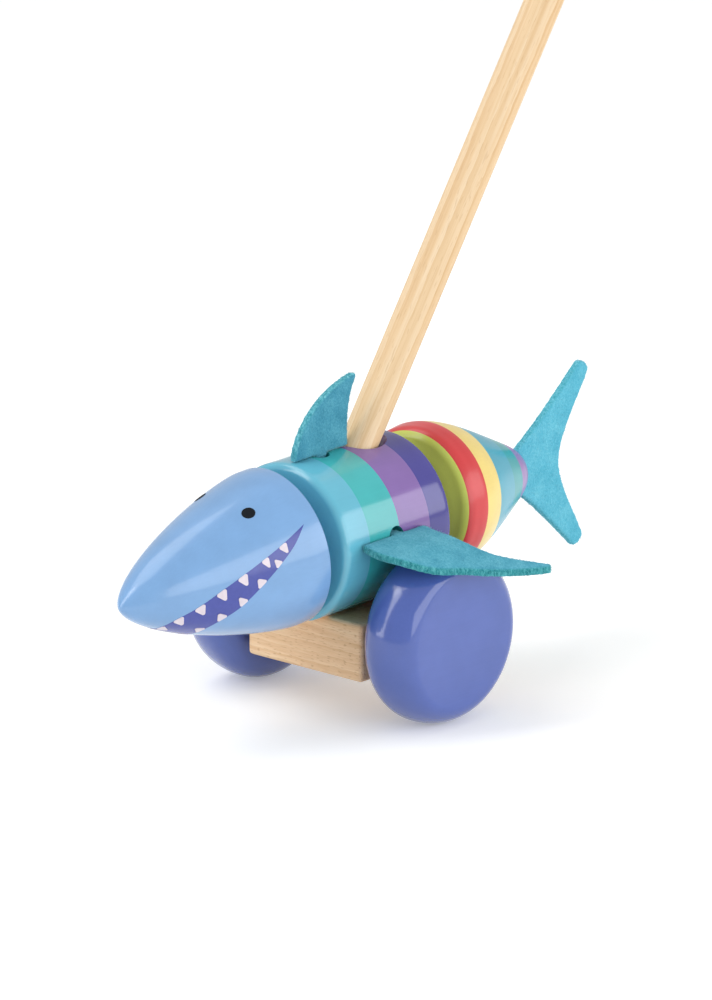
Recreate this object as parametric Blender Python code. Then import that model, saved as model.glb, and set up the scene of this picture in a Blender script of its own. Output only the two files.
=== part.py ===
# Wooden shark push toy: a painted body in three turned pieces on two wheels, felt fins and a push stick.
# Lengths are in metres. The nose points along -Y, the shark's left side along +X, and up is +Z.
# The origin is the middle of the chassis block's underside, between the wheels.

from math import cos, pi, radians, sin, tan

import bmesh
import bpy
from mathutils import Vector
from mathutils.geometry import interpolate_bezier

# Clearances shared by all pieces
TOUCH_GAP = 0.0003  # between two pieces that are glued, pressed or screwed together
RUNNING_GAP = 0.0004  # round what turns or swings
CUT_OVERRUN = 0.004  # how far a cutter runs past the face it opens
MERGE_DISTANCE = 0.000001  # points of a turned profile closer than this are one

# Wheels and axle
WHEEL_RADIUS = 0.0242
WHEEL_WIDTH = 0.0178
WHEEL_SHOULDER = 0.0101  # oval rounding of the outer edge, along the axle
WHEEL_SHOULDER_DROP = 0.0060  # the same rounding, toward the middle
WHEEL_INNER_ROUND = 0.0075
WHEEL_BORE_DEPTH = 0.0140
AXLE_RADIUS = 0.0020
AXLE_END_BEVEL = 0.0004
WASHER_RADIUS = 0.0060
WASHER_THICKNESS = 0.0020

# Chassis block
BLOCK_WIDTH = 0.0400
BLOCK_DEPTH = 0.0360
BLOCK_HEIGHT = 0.0160
BLOCK_EDGE = 0.0012
AXLE_HEIGHT = 0.0122  # axle above the block's underside

# Screws that hold the drum down on the block
SCREW_RADIUS = 0.00175
SCREW_HEAD_RADIUS = 0.0036
SCREW_HEAD_HEIGHT = 0.0020
SCREW_LENGTH = 0.0280
SCREW_TIP = 0.0040
SCREW_SPACING = 0.0220
SCREW_SUNK = 0.0004  # head below the block's underside
DRIVE_WIDTH = 0.0008
DRIVE_LENGTH = 0.0036
DRIVE_DEPTH = 0.0009

# Middle drum
DRUM_RADIUS = 0.0216
DRUM_FRONT = 0.0255  # front face ahead of the axle
DRUM_REAR = 0.0160  # rear face behind the axle
DRUM_FRONT_ROUND = 0.0020
DRUM_REAR_ROUND = 0.0006
DRUM_FLAT_DEPTH = 0.0015  # flat planed on the underside to sit on the block
BAND_START = 0.0160  # first paint line ahead of the axle
BAND_WIDTH = 0.0119

# Tongues and pins on which head and tail swing
TONGUE_WIDTH = 0.0120
TONGUE_THICKNESS = 0.0060
TONGUE_DEPTH = 0.0120  # how deep a tongue is glued into the drum
PIN_RADIUS = 0.0025
PIN_RISE = 0.0110  # top of a pin above the drum's axis
PIN_RECESS = 0.0012  # foot of a pin above the painted surface below it
PIN_BEVEL = 0.0004

# Head
HEAD_PIVOT = 0.0360  # pin ahead of the axle
HEAD_RADIUS = 0.0216
HEAD_REAR = 0.0061  # rear face behind the pin
HEAD_STRAIGHT = 0.0040  # length of the straight stretch ahead of the rear rim
HEAD_TAPER_LENGTH = 0.0518
HEAD_EDGE = 0.0004
HEAD_TAPER_POWER = 1.277
HEAD_BLUNT_POWER = 0.635
HEAD_YAW = radians(-6)
HEAD_DROOP = radians(6)
HEAD_SWING = radians(10)  # to each side of straight ahead

# Tail
TAIL_PIVOT = 0.0290  # pin behind the axle
TAIL_RADIUS = 0.0204
TAIL_FRONT = 0.0051  # rim of the front face ahead of the pin
TAIL_CROWN = 0.0030  # how far the front face bulges past its rim
TAIL_EDGE = 0.0036  # rounding of the front rim
TAIL_RIM_DROP = 0.0004  # rounded rim below the widest ring
TAIL_TAPER_LENGTH = 0.0315
TAIL_WIDEST = 0.0015  # widest ring behind the pin
TAIL_TIP_RADIUS = 0.0091
TAIL_TIP_LENGTH = 0.0086
TAIL_YAW = radians(3.5)
TAIL_DROOP = radians(-3)
TAIL_SWING = radians(15)
TAIL_LINE_SHARES = (0.026, 0.165, 0.345, 0.625, 0.792)  # paint lines, as shares of the length behind the front rim

# Felt fins
FELT_THICKNESS = 0.0024
TAB_WIDTH = 0.0040
TAB_LENGTH = 0.0050
FIN_HOLE_RADIUS = 0.0029
FIN_HOLE_DEPTH = 0.0060
DORSAL_CHORD = 0.0208
DORSAL_HEIGHT = 0.0192
DORSAL_FRONT = 0.0226  # front corner ahead of the axle
DORSAL_TIP_SHARE = 1.24  # how far back the tip lies, as a share of the height
PECTORAL_CHORD = 0.0244
PECTORAL_SPAN = 0.0319
PECTORAL_FRONT = 0.0194  # front corner ahead of the axle
PECTORAL_TAB_BACK = 0.0139  # tab behind the front corner
PECTORAL_BEND_LAG = 0.0008  # the fin stays level this far past the wheel's crest
PECTORAL_BEND_LENGTH = 0.0110  # and bends down over this much of its span
PECTORAL_SAG = radians(26.5)  # slope of the outer part
PECTORAL_TWIST = radians(4.6)  # extra slope along the leading edge
PECTORAL_TWIST_SHARES = (0.14, 0.59)  # of the chord, between which that extra slope fades out
CAUDAL_REACH = 0.0702  # trailing tips behind the pin
CAUDAL_NOTCH = 0.0585  # bottom of the fork behind the pin
CAUDAL_HALF_HEIGHT = 0.0254
CAUDAL_ROOT_HALF_HEIGHT = 0.0054

# Push stick
STICK_RADIUS = 0.0050
STICK_LENGTH = 0.4900
STICK_LEAN = radians(35)
STICK_BACK = 0.0044  # where its axis leaves the drum, behind the axle
STICK_DEPTH = 0.0200
STICK_MOUTH_RADIUS = 0.0060  # the hole is worn wider at its mouth, behind the stick
STICK_MOUTH_DEPTH = 0.0080
STICK_TOP_ROUND = 0.0030
STICK_FOOT_ROUND = 0.0006

# Facets
BODY_SEGMENTS = 56
WHEEL_SEGMENTS = 56
SMALL_SEGMENTS = 20
HOLE_SEGMENTS = 24
CURVE_STEPS = 9
ROUND_STEPS = 4

# Heights and places that follow from the sizes above
DRUM_FLAT_HEIGHT = BLOCK_HEIGHT + TOUCH_GAP
DRUM_AXIS = DRUM_FLAT_HEIGHT + DRUM_RADIUS - DRUM_FLAT_DEPTH
DRUM_TOP = DRUM_AXIS + DRUM_RADIUS
WHEEL_INNER_X = BLOCK_WIDTH / 2 + WASHER_THICKNESS + 2 * TOUCH_GAP
TONGUE_END = TONGUE_WIDTH / 2
HEAD_WIDEST = HEAD_REAR - HEAD_STRAIGHT
PECTORAL_HEIGHT = AXLE_HEIGHT + WHEEL_RADIUS + RUNNING_GAP + FELT_THICKNESS / 2
PECTORAL_LEVEL_SPAN = WHEEL_INNER_X + WHEEL_WIDTH - WHEEL_SHOULDER + PECTORAL_BEND_LAG - DRUM_RADIUS
TAIL_TIP_START = TAIL_WIDEST + TAIL_TAPER_LENGTH
TAIL_END = TAIL_TIP_START + TAIL_TIP_LENGTH

# Paint, wood, felt and metal, as colour, roughness and metallic value
FINISHES = {
    "bare_beech": ((0.71, 0.46, 0.25), 0.55, 0.0),
    "pale_dowel": ((0.83, 0.63, 0.40), 0.50, 0.0),
    "paint_head_blue": ((0.25, 0.44, 0.73), 0.22, 0.0),
    "paint_light_blue": ((0.18, 0.53, 0.68), 0.20, 0.0),
    "paint_teal": ((0.09, 0.48, 0.50), 0.20, 0.0),
    "paint_purple": ((0.30, 0.19, 0.47), 0.20, 0.0),
    "paint_violet": ((0.10, 0.10, 0.38), 0.20, 0.0),
    "paint_green": ((0.31, 0.38, 0.08), 0.30, 0.0),
    "paint_red": ((0.73, 0.10, 0.09), 0.30, 0.0),
    "paint_yellow": ((0.92, 0.75, 0.30), 0.30, 0.0),
    "paint_wheel_blue": ((0.10, 0.14, 0.44), 0.18, 0.0),
    "teal_felt": ((0.07, 0.33, 0.45), 0.95, 0.0),
    "zinc_steel": ((0.62, 0.62, 0.60), 0.35, 1.0),
    "white_nylon": ((0.80, 0.80, 0.78), 0.45, 0.0),
}


def clear_scene():
    for old in list(bpy.data.objects):
        bpy.data.objects.remove(old, do_unlink=True)


def finish(name):
    """The named finish as a material, made once."""
    if name in bpy.data.materials:
        return bpy.data.materials[name]
    colour, roughness, metallic = FINISHES[name]
    made = bpy.data.materials.new(name)
    made.use_nodes = True
    shader = made.node_tree.nodes["Principled BSDF"]
    shader.inputs["Base Color"].default_value = (*colour, 1.0)
    shader.inputs["Roughness"].default_value = roughness
    shader.inputs["Metallic"].default_value = metallic
    made.diffuse_color = (*colour, 1.0)
    return made


def place(name, mesh, finishes, location=(0, 0, 0), rotation=(0, 0, 0), parent=None):
    """An object of the mesh, with its finishes in order."""
    for key in finishes:
        mesh.materials.append(finish(key))
    made = bpy.data.objects.new(name, mesh)
    bpy.context.scene.collection.objects.link(made)
    made.location = location
    made.rotation_euler = rotation
    made.parent = parent
    return made


def pivot(name, location, yaw):
    made = bpy.data.objects.new(name, None)
    bpy.context.scene.collection.objects.link(made)
    made.location = location
    made.rotation_euler = (0, 0, yaw)
    return made


def mesh_of(name, form, sharp=radians(35)):
    """Turns a bmesh into a mesh with smooth round faces and sharp edges."""
    bmesh.ops.recalc_face_normals(form, faces=form.faces)
    mesh = bpy.data.meshes.new(name)
    form.to_mesh(mesh)
    form.free()
    mesh.shade_smooth()
    mesh.set_sharp_from_angle(angle=sharp)
    return mesh


def turned(name, profile, segments, lines=(), closed=False):
    """A profile of (along, out) points turned about local Z. Lines part the paint bands, which take
    finishes 1, 2, 3 and so on from the low end; what a cutter opens keeps finish 0."""
    form = bmesh.new()
    points = [form.verts.new((out, 0, along)) for along, out in profile]
    ends = list(zip(points, points[1:]))
    if closed:
        ends.append((points[-1], points[0]))
    edges = [form.edges.new(pair) for pair in ends]
    bmesh.ops.spin(form, geom=points + edges, axis=(0, 0, 1), cent=(0, 0, 0), angle=2 * pi, steps=segments)
    bmesh.ops.remove_doubles(form, verts=form.verts, dist=MERGE_DISTANCE)
    if lines:
        for face in form.faces:
            along = face.calc_center_median().z
            face.material_index = 1 + sum(along > line for line in lines[1:])
    return mesh_of(name, form)


def rod(name, start, end, radius, bevel=0.0, segments=SMALL_SEGMENTS):
    """A round rod along local Z, its ends eased by the bevel."""
    profile = [(start, 0)]
    if bevel:
        profile += [(start, radius - bevel), (start + bevel, radius), (end - bevel, radius), (end, radius - bevel)]
    else:
        profile += [(start, radius), (end, radius)]
    profile.append((end, 0))
    return turned(name, profile, segments)


def box(name, low, high):
    form = bmesh.new()
    bmesh.ops.create_cube(form, size=1)
    low, high = Vector(low), Vector(high)
    for vert in form.verts:
        share = vert.co + Vector((0.5, 0.5, 0.5))
        vert.co = Vector(a + s * (b - a) for a, b, s in zip(low, high, share))
    return mesh_of(name, form)


def plate(name, outline, thickness):
    """A flat plate of an (x, y) outline, half its thickness to each side of local Z = 0."""
    form = bmesh.new()
    face = form.faces.new([form.verts.new((x, y, -thickness / 2)) for x, y in outline])
    raised = bmesh.ops.extrude_face_region(form, geom=[face])
    moved = [item for item in raised["geom"] if isinstance(item, bmesh.types.BMVert)]
    bmesh.ops.translate(form, verts=moved, vec=(0, 0, thickness))
    bmesh.ops.triangulate(form, faces=[item for item in form.faces if len(item.verts) > 4])
    return mesh_of(name, form)


def cut(target, mesh, location=(0, 0, 0), rotation=(0, 0, 0), parent=None):
    """Takes the mesh's shape out of the target with a hidden cutter."""
    cutter = place(f"cutter_{len(bpy.data.objects)}", mesh, (), location, rotation, parent)
    cutter.hide_render = True
    cutter.display_type = "WIRE"
    change = target.modifiers.new("cut", "BOOLEAN")
    change.operation = "DIFFERENCE"
    change.solver = "EXACT"
    change.object = cutter


def arc(centre, radius, start, end, steps=ROUND_STEPS):
    """Points round a centre, from one angle to another, both included."""
    turns = [start + (end - start) * step / steps for step in range(steps + 1)]
    return [(centre[0] + radius * cos(turn), centre[1] + radius * sin(turn)) for turn in turns]


def bezier(start, handle_a, handle_b, end, steps=CURVE_STEPS):
    """Points of a cubic curve, both ends included."""
    return [tuple(point) for point in interpolate_bezier(start, handle_a, handle_b, end, steps)]


def scaled(shares, along, out):
    """Points from shares of two sizes."""
    return [(a * along, b * out) for a, b in shares]


def wheel_profile():
    inner, outer = 0, WHEEL_WIDTH
    bore = AXLE_RADIUS + TOUCH_GAP
    tread = WHEEL_RADIUS - WHEEL_INNER_ROUND
    face = WHEEL_RADIUS - WHEEL_SHOULDER_DROP
    profile = [(WHEEL_BORE_DEPTH, 0), (WHEEL_BORE_DEPTH, bore), (inner, bore)]
    profile += arc((inner + WHEEL_INNER_ROUND, tread), WHEEL_INNER_ROUND, pi, pi / 2, 2 * ROUND_STEPS)
    shoulder = arc((0, 0), 1, pi / 2, 0, 2 * ROUND_STEPS)
    for along, out in scaled(shoulder, WHEEL_SHOULDER, WHEEL_SHOULDER_DROP):
        profile.append((outer - WHEEL_SHOULDER + along, face + out))
    return profile + [(outer, 0)]


def make_wheels():
    sides = (("left", 1), ("right", -1))
    for side, sign in sides:
        mesh = turned(f"wheel_{side}", wheel_profile(), WHEEL_SEGMENTS)
        at = (sign * WHEEL_INNER_X, 0, AXLE_HEIGHT)
        place(f"wheel_{side}", mesh, ("paint_wheel_blue",), at, (0, sign * pi / 2, 0))


def make_axle():
    half = WHEEL_INNER_X + WHEEL_BORE_DEPTH - TOUCH_GAP
    mesh = rod("axle", -half, half, AXLE_RADIUS, AXLE_END_BEVEL)
    place("axle", mesh, ("zinc_steel",), (0, 0, AXLE_HEIGHT), (0, pi / 2, 0))


def make_washers():
    hole = AXLE_RADIUS + TOUCH_GAP
    near = BLOCK_WIDTH / 2 + TOUCH_GAP
    far = near + WASHER_THICKNESS
    profile = [(near, hole), (near, WASHER_RADIUS), (far, WASHER_RADIUS), (far, hole)]
    for side, sign in (("left", 1), ("right", -1)):
        mesh = turned(f"axle_washer_{side}", profile, HOLE_SEGMENTS, closed=True)
        place(f"axle_washer_{side}", mesh, ("white_nylon",), (0, 0, AXLE_HEIGHT), (0, sign * pi / 2, 0))


def screw_places():
    return (("front", -SCREW_SPACING / 2), ("rear", SCREW_SPACING / 2))


def make_block():
    half_x, half_y = BLOCK_WIDTH / 2, BLOCK_DEPTH / 2
    mesh = box("chassis_block", (-half_x, -half_y, 0), (half_x, half_y, BLOCK_HEIGHT))
    block = place("chassis_block", mesh, ("bare_beech",))
    edges = block.modifiers.new("eased edges", "BEVEL")
    edges.width = BLOCK_EDGE
    edges.segments = 2
    reach = half_x + CUT_OVERRUN
    bore = rod("axle_bore", -reach, reach, AXLE_RADIUS + RUNNING_GAP, segments=HOLE_SEGMENTS)
    cut(block, bore, (0, 0, AXLE_HEIGHT), (0, pi / 2, 0))
    wide = SCREW_HEAD_RADIUS + TOUCH_GAP
    shank = SCREW_RADIUS + TOUCH_GAP
    seat = SCREW_SUNK + SCREW_HEAD_HEIGHT + TOUCH_GAP
    sunk = [(-CUT_OVERRUN, 0), (-CUT_OVERRUN, wide), (SCREW_SUNK + TOUCH_GAP, wide), (seat, shank)]
    sunk += [(BLOCK_HEIGHT + CUT_OVERRUN, shank), (BLOCK_HEIGHT + CUT_OVERRUN, 0)]
    for _, y in screw_places():
        cut(block, turned("screw_bore", sunk, SMALL_SEGMENTS), (0, y, 0))


def make_screws():
    foot = SCREW_SUNK
    neck = foot + SCREW_HEAD_HEIGHT
    top = foot + SCREW_LENGTH
    profile = [(foot, 0), (foot, SCREW_HEAD_RADIUS), (neck, SCREW_RADIUS)]
    profile += [(top - SCREW_TIP, SCREW_RADIUS), (top, 0)]
    for side, y in screw_places():
        mesh = turned("screw", profile, SMALL_SEGMENTS)
        screw = place(f"chassis_screw_{side}", mesh, ("zinc_steel",), (0, y, 0))
        for turn in (0, pi / 2):
            low = (-DRIVE_LENGTH / 2, -DRIVE_WIDTH / 2, foot - CUT_OVERRUN)
            high = (DRIVE_LENGTH / 2, DRIVE_WIDTH / 2, foot + DRIVE_DEPTH)
            cut(screw, box("drive", low, high), (0, y, 0), (0, 0, turn))


def drum_profile():
    front, rear, radius = -DRUM_FRONT, DRUM_REAR, DRUM_RADIUS
    profile = [(front, 0)]
    profile += arc((front + DRUM_FRONT_ROUND, radius - DRUM_FRONT_ROUND), DRUM_FRONT_ROUND, pi, pi / 2)
    profile += [(line, radius) for line in drum_lines()[1:]]
    profile += arc((rear - DRUM_REAR_ROUND, radius - DRUM_REAR_ROUND), DRUM_REAR_ROUND, pi / 2, 0, 2)
    return profile + [(rear, 0)]


def drum_lines():
    """Where each paint band of the drum starts, from the front."""
    return [-DRUM_FRONT] + [-BAND_START + band * BAND_WIDTH for band in range(3)]


def stick_mouth():
    """Where the stick's axis leaves the drum's top."""
    return Vector((0, STICK_BACK, DRUM_TOP))


def make_drum():
    paints = ("bare_beech", "paint_light_blue", "paint_teal", "paint_purple", "paint_violet")
    mesh = turned("body_drum", drum_profile(), BODY_SEGMENTS, drum_lines())
    drum = place("body_drum", mesh, paints, (0, 0, DRUM_AXIS), (-pi / 2, 0, 0))
    side = DRUM_RADIUS + CUT_OVERRUN
    front, rear = DRUM_FRONT + CUT_OVERRUN, DRUM_REAR + CUT_OVERRUN
    cut(drum, box("flat", (-side, -front, -side), (side, rear, DRUM_FLAT_HEIGHT)))
    wide = TONGUE_WIDTH / 2 + TOUCH_GAP
    high = TONGUE_THICKNESS / 2 + TOUCH_GAP
    deep = TONGUE_DEPTH + TOUCH_GAP
    for near, far in ((-front, deep - DRUM_FRONT), (DRUM_REAR - deep, rear)):
        cut(drum, box("mortise", (-wide, near, DRUM_AXIS - high), (wide, far, DRUM_AXIS + high)))
    hole = rod("fin_hole", -FIN_HOLE_DEPTH, CUT_OVERRUN, FIN_HOLE_RADIUS, segments=HOLE_SEGMENTS)
    cut(drum, hole, (0, DORSAL_CHORD / 2 - DORSAL_FRONT, DRUM_TOP))
    for sign in (1, -1):
        hole = rod("fin_hole", -FIN_HOLE_DEPTH, CUT_OVERRUN, FIN_HOLE_RADIUS, segments=HOLE_SEGMENTS)
        cut(drum, hole, pectoral_root(sign, PECTORAL_TAB_BACK), (0, sign * pi / 2, 0))
    snug = rod("stick_hole", -STICK_DEPTH - TOUCH_GAP, DRUM_RADIUS, STICK_RADIUS + TOUCH_GAP, segments=HOLE_SEGMENTS)
    cut(drum, snug, stick_mouth(), (-STICK_LEAN, 0, 0))
    slack = STICK_MOUTH_RADIUS - STICK_RADIUS - TOUCH_GAP
    across = Vector((0, cos(STICK_LEAN), -sin(STICK_LEAN)))
    wide = rod("stick_mouth", -STICK_MOUTH_DEPTH, DRUM_RADIUS, STICK_MOUTH_RADIUS, segments=HOLE_SEGMENTS)
    cut(drum, wide, stick_mouth() + slack * across, (-STICK_LEAN, 0, 0))
    top = SCREW_SUNK + SCREW_LENGTH + TOUCH_GAP
    for _, y in screw_places():
        pilot = rod("pilot", 0, top, SCREW_RADIUS + TOUCH_GAP)
        cut(drum, pilot, (0, y, 0))


def head_profile():
    """From the nose back: a blunt taper, a straight stretch and a crisp rear rim."""
    steps = 2 * CURVE_STEPS
    shares = [sin(pi / 2 * step / steps) for step in range(steps, -1, -1)]
    profile = []
    for share in shares:
        out = HEAD_RADIUS * (1 - share**HEAD_TAPER_POWER) ** HEAD_BLUNT_POWER
        profile.append((HEAD_WIDEST - share * HEAD_TAPER_LENGTH, out))
    profile += arc((HEAD_REAR - HEAD_EDGE, HEAD_RADIUS - HEAD_EDGE), HEAD_EDGE, pi / 2, 0, 2)
    return profile + [(HEAD_REAR, 0)]


def slot_half_width(reach, swing):
    """Room for a tongue that swings, at the given distance from its pin."""
    return TONGUE_WIDTH / 2 / cos(swing) + reach * tan(swing) + RUNNING_GAP


def cut_joint(piece, at, mouth, swing, depth):
    """Opens a level slot for the tongue and a hole for the pin from below. Mouth is the signed
    distance from the pin to the slot's open end, and depth the piece's reach below its pin."""
    half = slot_half_width(abs(mouth), swing)
    high = TONGUE_THICKNESS / 2 + RUNNING_GAP
    sign = 1 if mouth > 0 else -1
    ends = sorted((mouth + sign * CUT_OVERRUN, -sign * (TONGUE_END + RUNNING_GAP)))
    cut(piece, box("slot", (-half, ends[0], -high), (half, ends[1], high)), parent=at)
    hole = rod("pin_hole", -depth, PIN_RISE + TOUCH_GAP, PIN_RADIUS + TOUCH_GAP)
    cut(piece, hole, parent=at)


def make_head():
    at = pivot("head_pivot", (0, -HEAD_PIVOT, DRUM_AXIS), HEAD_YAW)
    mesh = turned("head", head_profile(), BODY_SEGMENTS, (0, ))
    head = place("head", mesh, ("bare_beech", "paint_head_blue"), (0, 0, 0), (HEAD_DROOP - pi / 2, 0, 0), at)
    cut_joint(head, at, HEAD_REAR, HEAD_SWING, HEAD_RADIUS + CUT_OVERRUN)
    make_pin("head_pivot_pin", at, HEAD_RADIUS)


def tail_profile():
    """From the front back: a crowned face, a shoulder, a long taper and a rounded tip."""
    rim = TAIL_RADIUS - TAIL_RIM_DROP
    inner = rim - TAIL_EDGE
    steps = ROUND_STEPS
    profile = []
    for step in range(steps):
        share = step / steps
        profile.append((-TAIL_FRONT - TAIL_CROWN * (1 - share**2), share * inner))
    profile += arc((TAIL_EDGE - TAIL_FRONT, inner), TAIL_EDGE, pi, pi / 2)
    widest = (TAIL_WIDEST, TAIL_RADIUS)
    tip = (TAIL_TIP_START, TAIL_TIP_RADIUS)
    fall = TAIL_RADIUS - TAIL_TIP_RADIUS
    taper_shares = ((0.24, 0.05), (0.56, 0.48))
    handles = [(TAIL_WIDEST + a * TAIL_TAPER_LENGTH, TAIL_RADIUS - b * fall) for a, b in taper_shares]
    profile += bezier(widest, *handles, tip, CURVE_STEPS + 1)
    tip_shares = ((0.41, 0.84), (1.0, 0.55))
    handles = [(TAIL_TIP_START + a * TAIL_TIP_LENGTH, b * TAIL_TIP_RADIUS) for a, b in tip_shares]
    return profile + bezier(tip, *handles, (TAIL_END, 0), CURVE_STEPS - 2)[1:]


def tail_lines():
    """Where each paint band of the tail starts, from the front."""
    length = TAIL_FRONT + TAIL_END
    return [-TAIL_FRONT - TAIL_CROWN] + [share * length - TAIL_FRONT for share in TAIL_LINE_SHARES]


def banded(profile, lines):
    """The profile with a ring added at each paint line that falls inside it."""
    out = list(profile)
    for line in lines:
        for index in range(len(out) - 1):
            (a, b), (c, d) = out[index], out[index + 1]
            if a < line - MERGE_DISTANCE and c > line + MERGE_DISTANCE:
                out.insert(index + 1, (line, b + (d - b) * (line - a) / (c - a)))
                break
    return out


def make_tail():
    paints = ("bare_beech", "paint_green", "paint_red", "paint_yellow", "paint_light_blue", "paint_teal")
    at = pivot("tail_pivot", (0, TAIL_PIVOT, DRUM_AXIS), TAIL_YAW)
    lines = tail_lines()
    mesh = turned("tail", banded(tail_profile(), lines[2:]), BODY_SEGMENTS, lines)
    tail = place("tail", mesh, (*paints, "paint_purple"), (0, 0, 0), (TAIL_DROOP - pi / 2, 0, 0), at)
    cut_joint(tail, at, -TAIL_FRONT - TAIL_CROWN, TAIL_SWING, TAIL_RADIUS + CUT_OVERRUN)
    hole = rod("fin_hole", TAIL_END - FIN_HOLE_DEPTH, TAIL_END + CUT_OVERRUN, FIN_HOLE_RADIUS)
    cut(tail, hole, (0, 0, 0), (TAIL_DROOP - pi / 2, 0, 0), at)
    make_pin("tail_pivot_pin", at, TAIL_RADIUS)


def make_pin(name, at, depth):
    """A dowel that stands in a swinging piece and passes through the tongue in its slot."""
    mesh = rod(name, PIN_RECESS - depth, PIN_RISE, PIN_RADIUS, PIN_BEVEL)
    place(name, mesh, ("bare_beech",), parent=at)


def make_tongue(name, face, pin, sign):
    """A flat tongue glued into the drum behind one face, its free end round about the pin."""
    half = TONGUE_WIDTH / 2
    root = face - TONGUE_DEPTH
    round_end = arc((0, 0), half, 0, pi, 3 * ROUND_STEPS)
    outline = [(half, root - pin), *round_end, (-half, root - pin)]
    mesh = plate(name, outline, TONGUE_THICKNESS)
    turn = 0 if sign > 0 else pi
    tongue = place(name, mesh, ("bare_beech",), (0, sign * pin, DRUM_AXIS), (0, 0, turn))
    high = TONGUE_THICKNESS / 2 + CUT_OVERRUN
    cut(tongue, rod("pin_bore", -high, high, PIN_RADIUS + TOUCH_GAP), (0, sign * pin, DRUM_AXIS))


def make_tongues():
    make_tongue("head_tongue", DRUM_FRONT, HEAD_PIVOT, -1)
    make_tongue("tail_tongue", DRUM_REAR, TAIL_PIVOT, 1)


def swept_fin(chord, height, tip_share, lead_shares, trail_shares, tab_back):
    """Outline of a swept fin as (back, out) points: its root on out = 0 with a tab below it,
    a bulging leading edge, a small round tip and a hollow trailing edge."""
    tip = tip_share * height
    ease_shares = ((0.985, 1.0), (1.02, 0.985), (1.015, 0.945))
    lead = bezier((0, 0), *scaled(lead_shares, tip, height), (ease_shares[0][0] * tip, height))
    ease = scaled(ease_shares[1:], tip, height)
    trail = bezier(ease[-1], *scaled(trail_shares, tip, height), (chord, 0))
    half = TAB_WIDTH / 2
    tab = [(tab_back + half, 0), (tab_back + half, -TAB_LENGTH)]
    tab += [(tab_back - half, -TAB_LENGTH), (tab_back - half, 0)]
    return lead + ease[:-1] + trail + tab


def make_dorsal_fin():
    lead_shares = ((0.034, 0.396), (0.361, 0.865))
    trail_shares = ((0.87, 0.68), (0.865, 0.36))
    outline = swept_fin(DORSAL_CHORD, DORSAL_HEIGHT, DORSAL_TIP_SHARE, lead_shares, trail_shares, DORSAL_CHORD / 2)
    mesh = plate("dorsal_fin", outline, FELT_THICKNESS)
    at = (0, -DORSAL_FRONT, DRUM_TOP + TOUCH_GAP)
    place("dorsal_fin", mesh, ("teal_felt",), at, (pi / 2, 0, pi / 2))


def pectoral_root(sign, back):
    """A point on the drum's side where a pectoral fin is fixed, this far behind its front corner."""
    return Vector((sign * DRUM_RADIUS, back - PECTORAL_FRONT, PECTORAL_HEIGHT))


def pectoral_sag(out, back):
    """How far the felt lies below its root: level over the wheel, bent down past it."""
    bend = PECTORAL_BEND_LENGTH
    over = min(max(out - PECTORAL_LEVEL_SPAN, 0), bend)
    past = max(out - PECTORAL_LEVEL_SPAN - bend, 0)
    first, last = PECTORAL_TWIST_SHARES
    share = min(max((last - back / PECTORAL_CHORD) / (last - first), 0), 1)
    lead = share * share * (3 - 2 * share)
    return tan(PECTORAL_SAG) * (over * over / bend / 2 + past) + tan(PECTORAL_TWIST) * lead * max(out, 0)


def make_pectoral_mesh(name, sign):
    """Strips of felt between the two edges, with a tab at the root, bent as the fin hangs."""
    lead_shares = ((0, 0), (0.524, -0.272), (0.837, 0.487), (1.0, 1.582))
    trail_shares = ((0, 1.0), (0.636, 0.709), (0.739, 1.074), (0.972, 1.635))
    lead = bezier(*scaled(lead_shares, PECTORAL_SPAN, PECTORAL_CHORD), CURVE_STEPS + 3)
    trail = bezier(*scaled(trail_shares, PECTORAL_SPAN, PECTORAL_CHORD), CURVE_STEPS + 3)
    half = TAB_WIDTH / 2 / PECTORAL_CHORD
    middle = PECTORAL_TAB_BACK / PECTORAL_CHORD
    across_shares = (0, 0.16, 0.33, middle - half, middle + half, 0.83, 1)
    form = bmesh.new()
    rows = []
    for (a, b), (c, d) in zip(lead, trail):
        row = [(a + share * (c - a), b + share * (d - b)) for share in across_shares]
        rows.append([form.verts.new((out, back, -FELT_THICKNESS / 2)) for out, back in row])
    for near, far in zip(rows, rows[1:]):
        for index in range(len(near) - 1):
            form.faces.new((near[index], far[index], far[index + 1], near[index + 1]))
    foot = [form.verts.new((-TAB_LENGTH, vert.co.y, vert.co.z)) for vert in rows[0][3:5]]
    form.faces.new((foot[0], rows[0][3], rows[0][4], foot[1]))
    raised = bmesh.ops.extrude_face_region(form, geom=list(form.faces))
    moved = [item for item in raised["geom"] if isinstance(item, bmesh.types.BMVert)]
    bmesh.ops.translate(form, verts=moved, vec=(0, 0, FELT_THICKNESS))
    for vert in form.verts:
        vert.co.z -= pectoral_sag(vert.co.x, vert.co.y)
        vert.co.x *= sign
    return mesh_of(name, form)


def make_pectoral_fins():
    for side, sign in (("left", 1), ("right", -1)):
        mesh = make_pectoral_mesh(f"pectoral_fin_{side}", sign)
        at = pectoral_root(sign, 0) + Vector((sign * TOUCH_GAP, 0, 0))
        place(f"pectoral_fin_{side}", mesh, ("teal_felt",), at)


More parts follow.
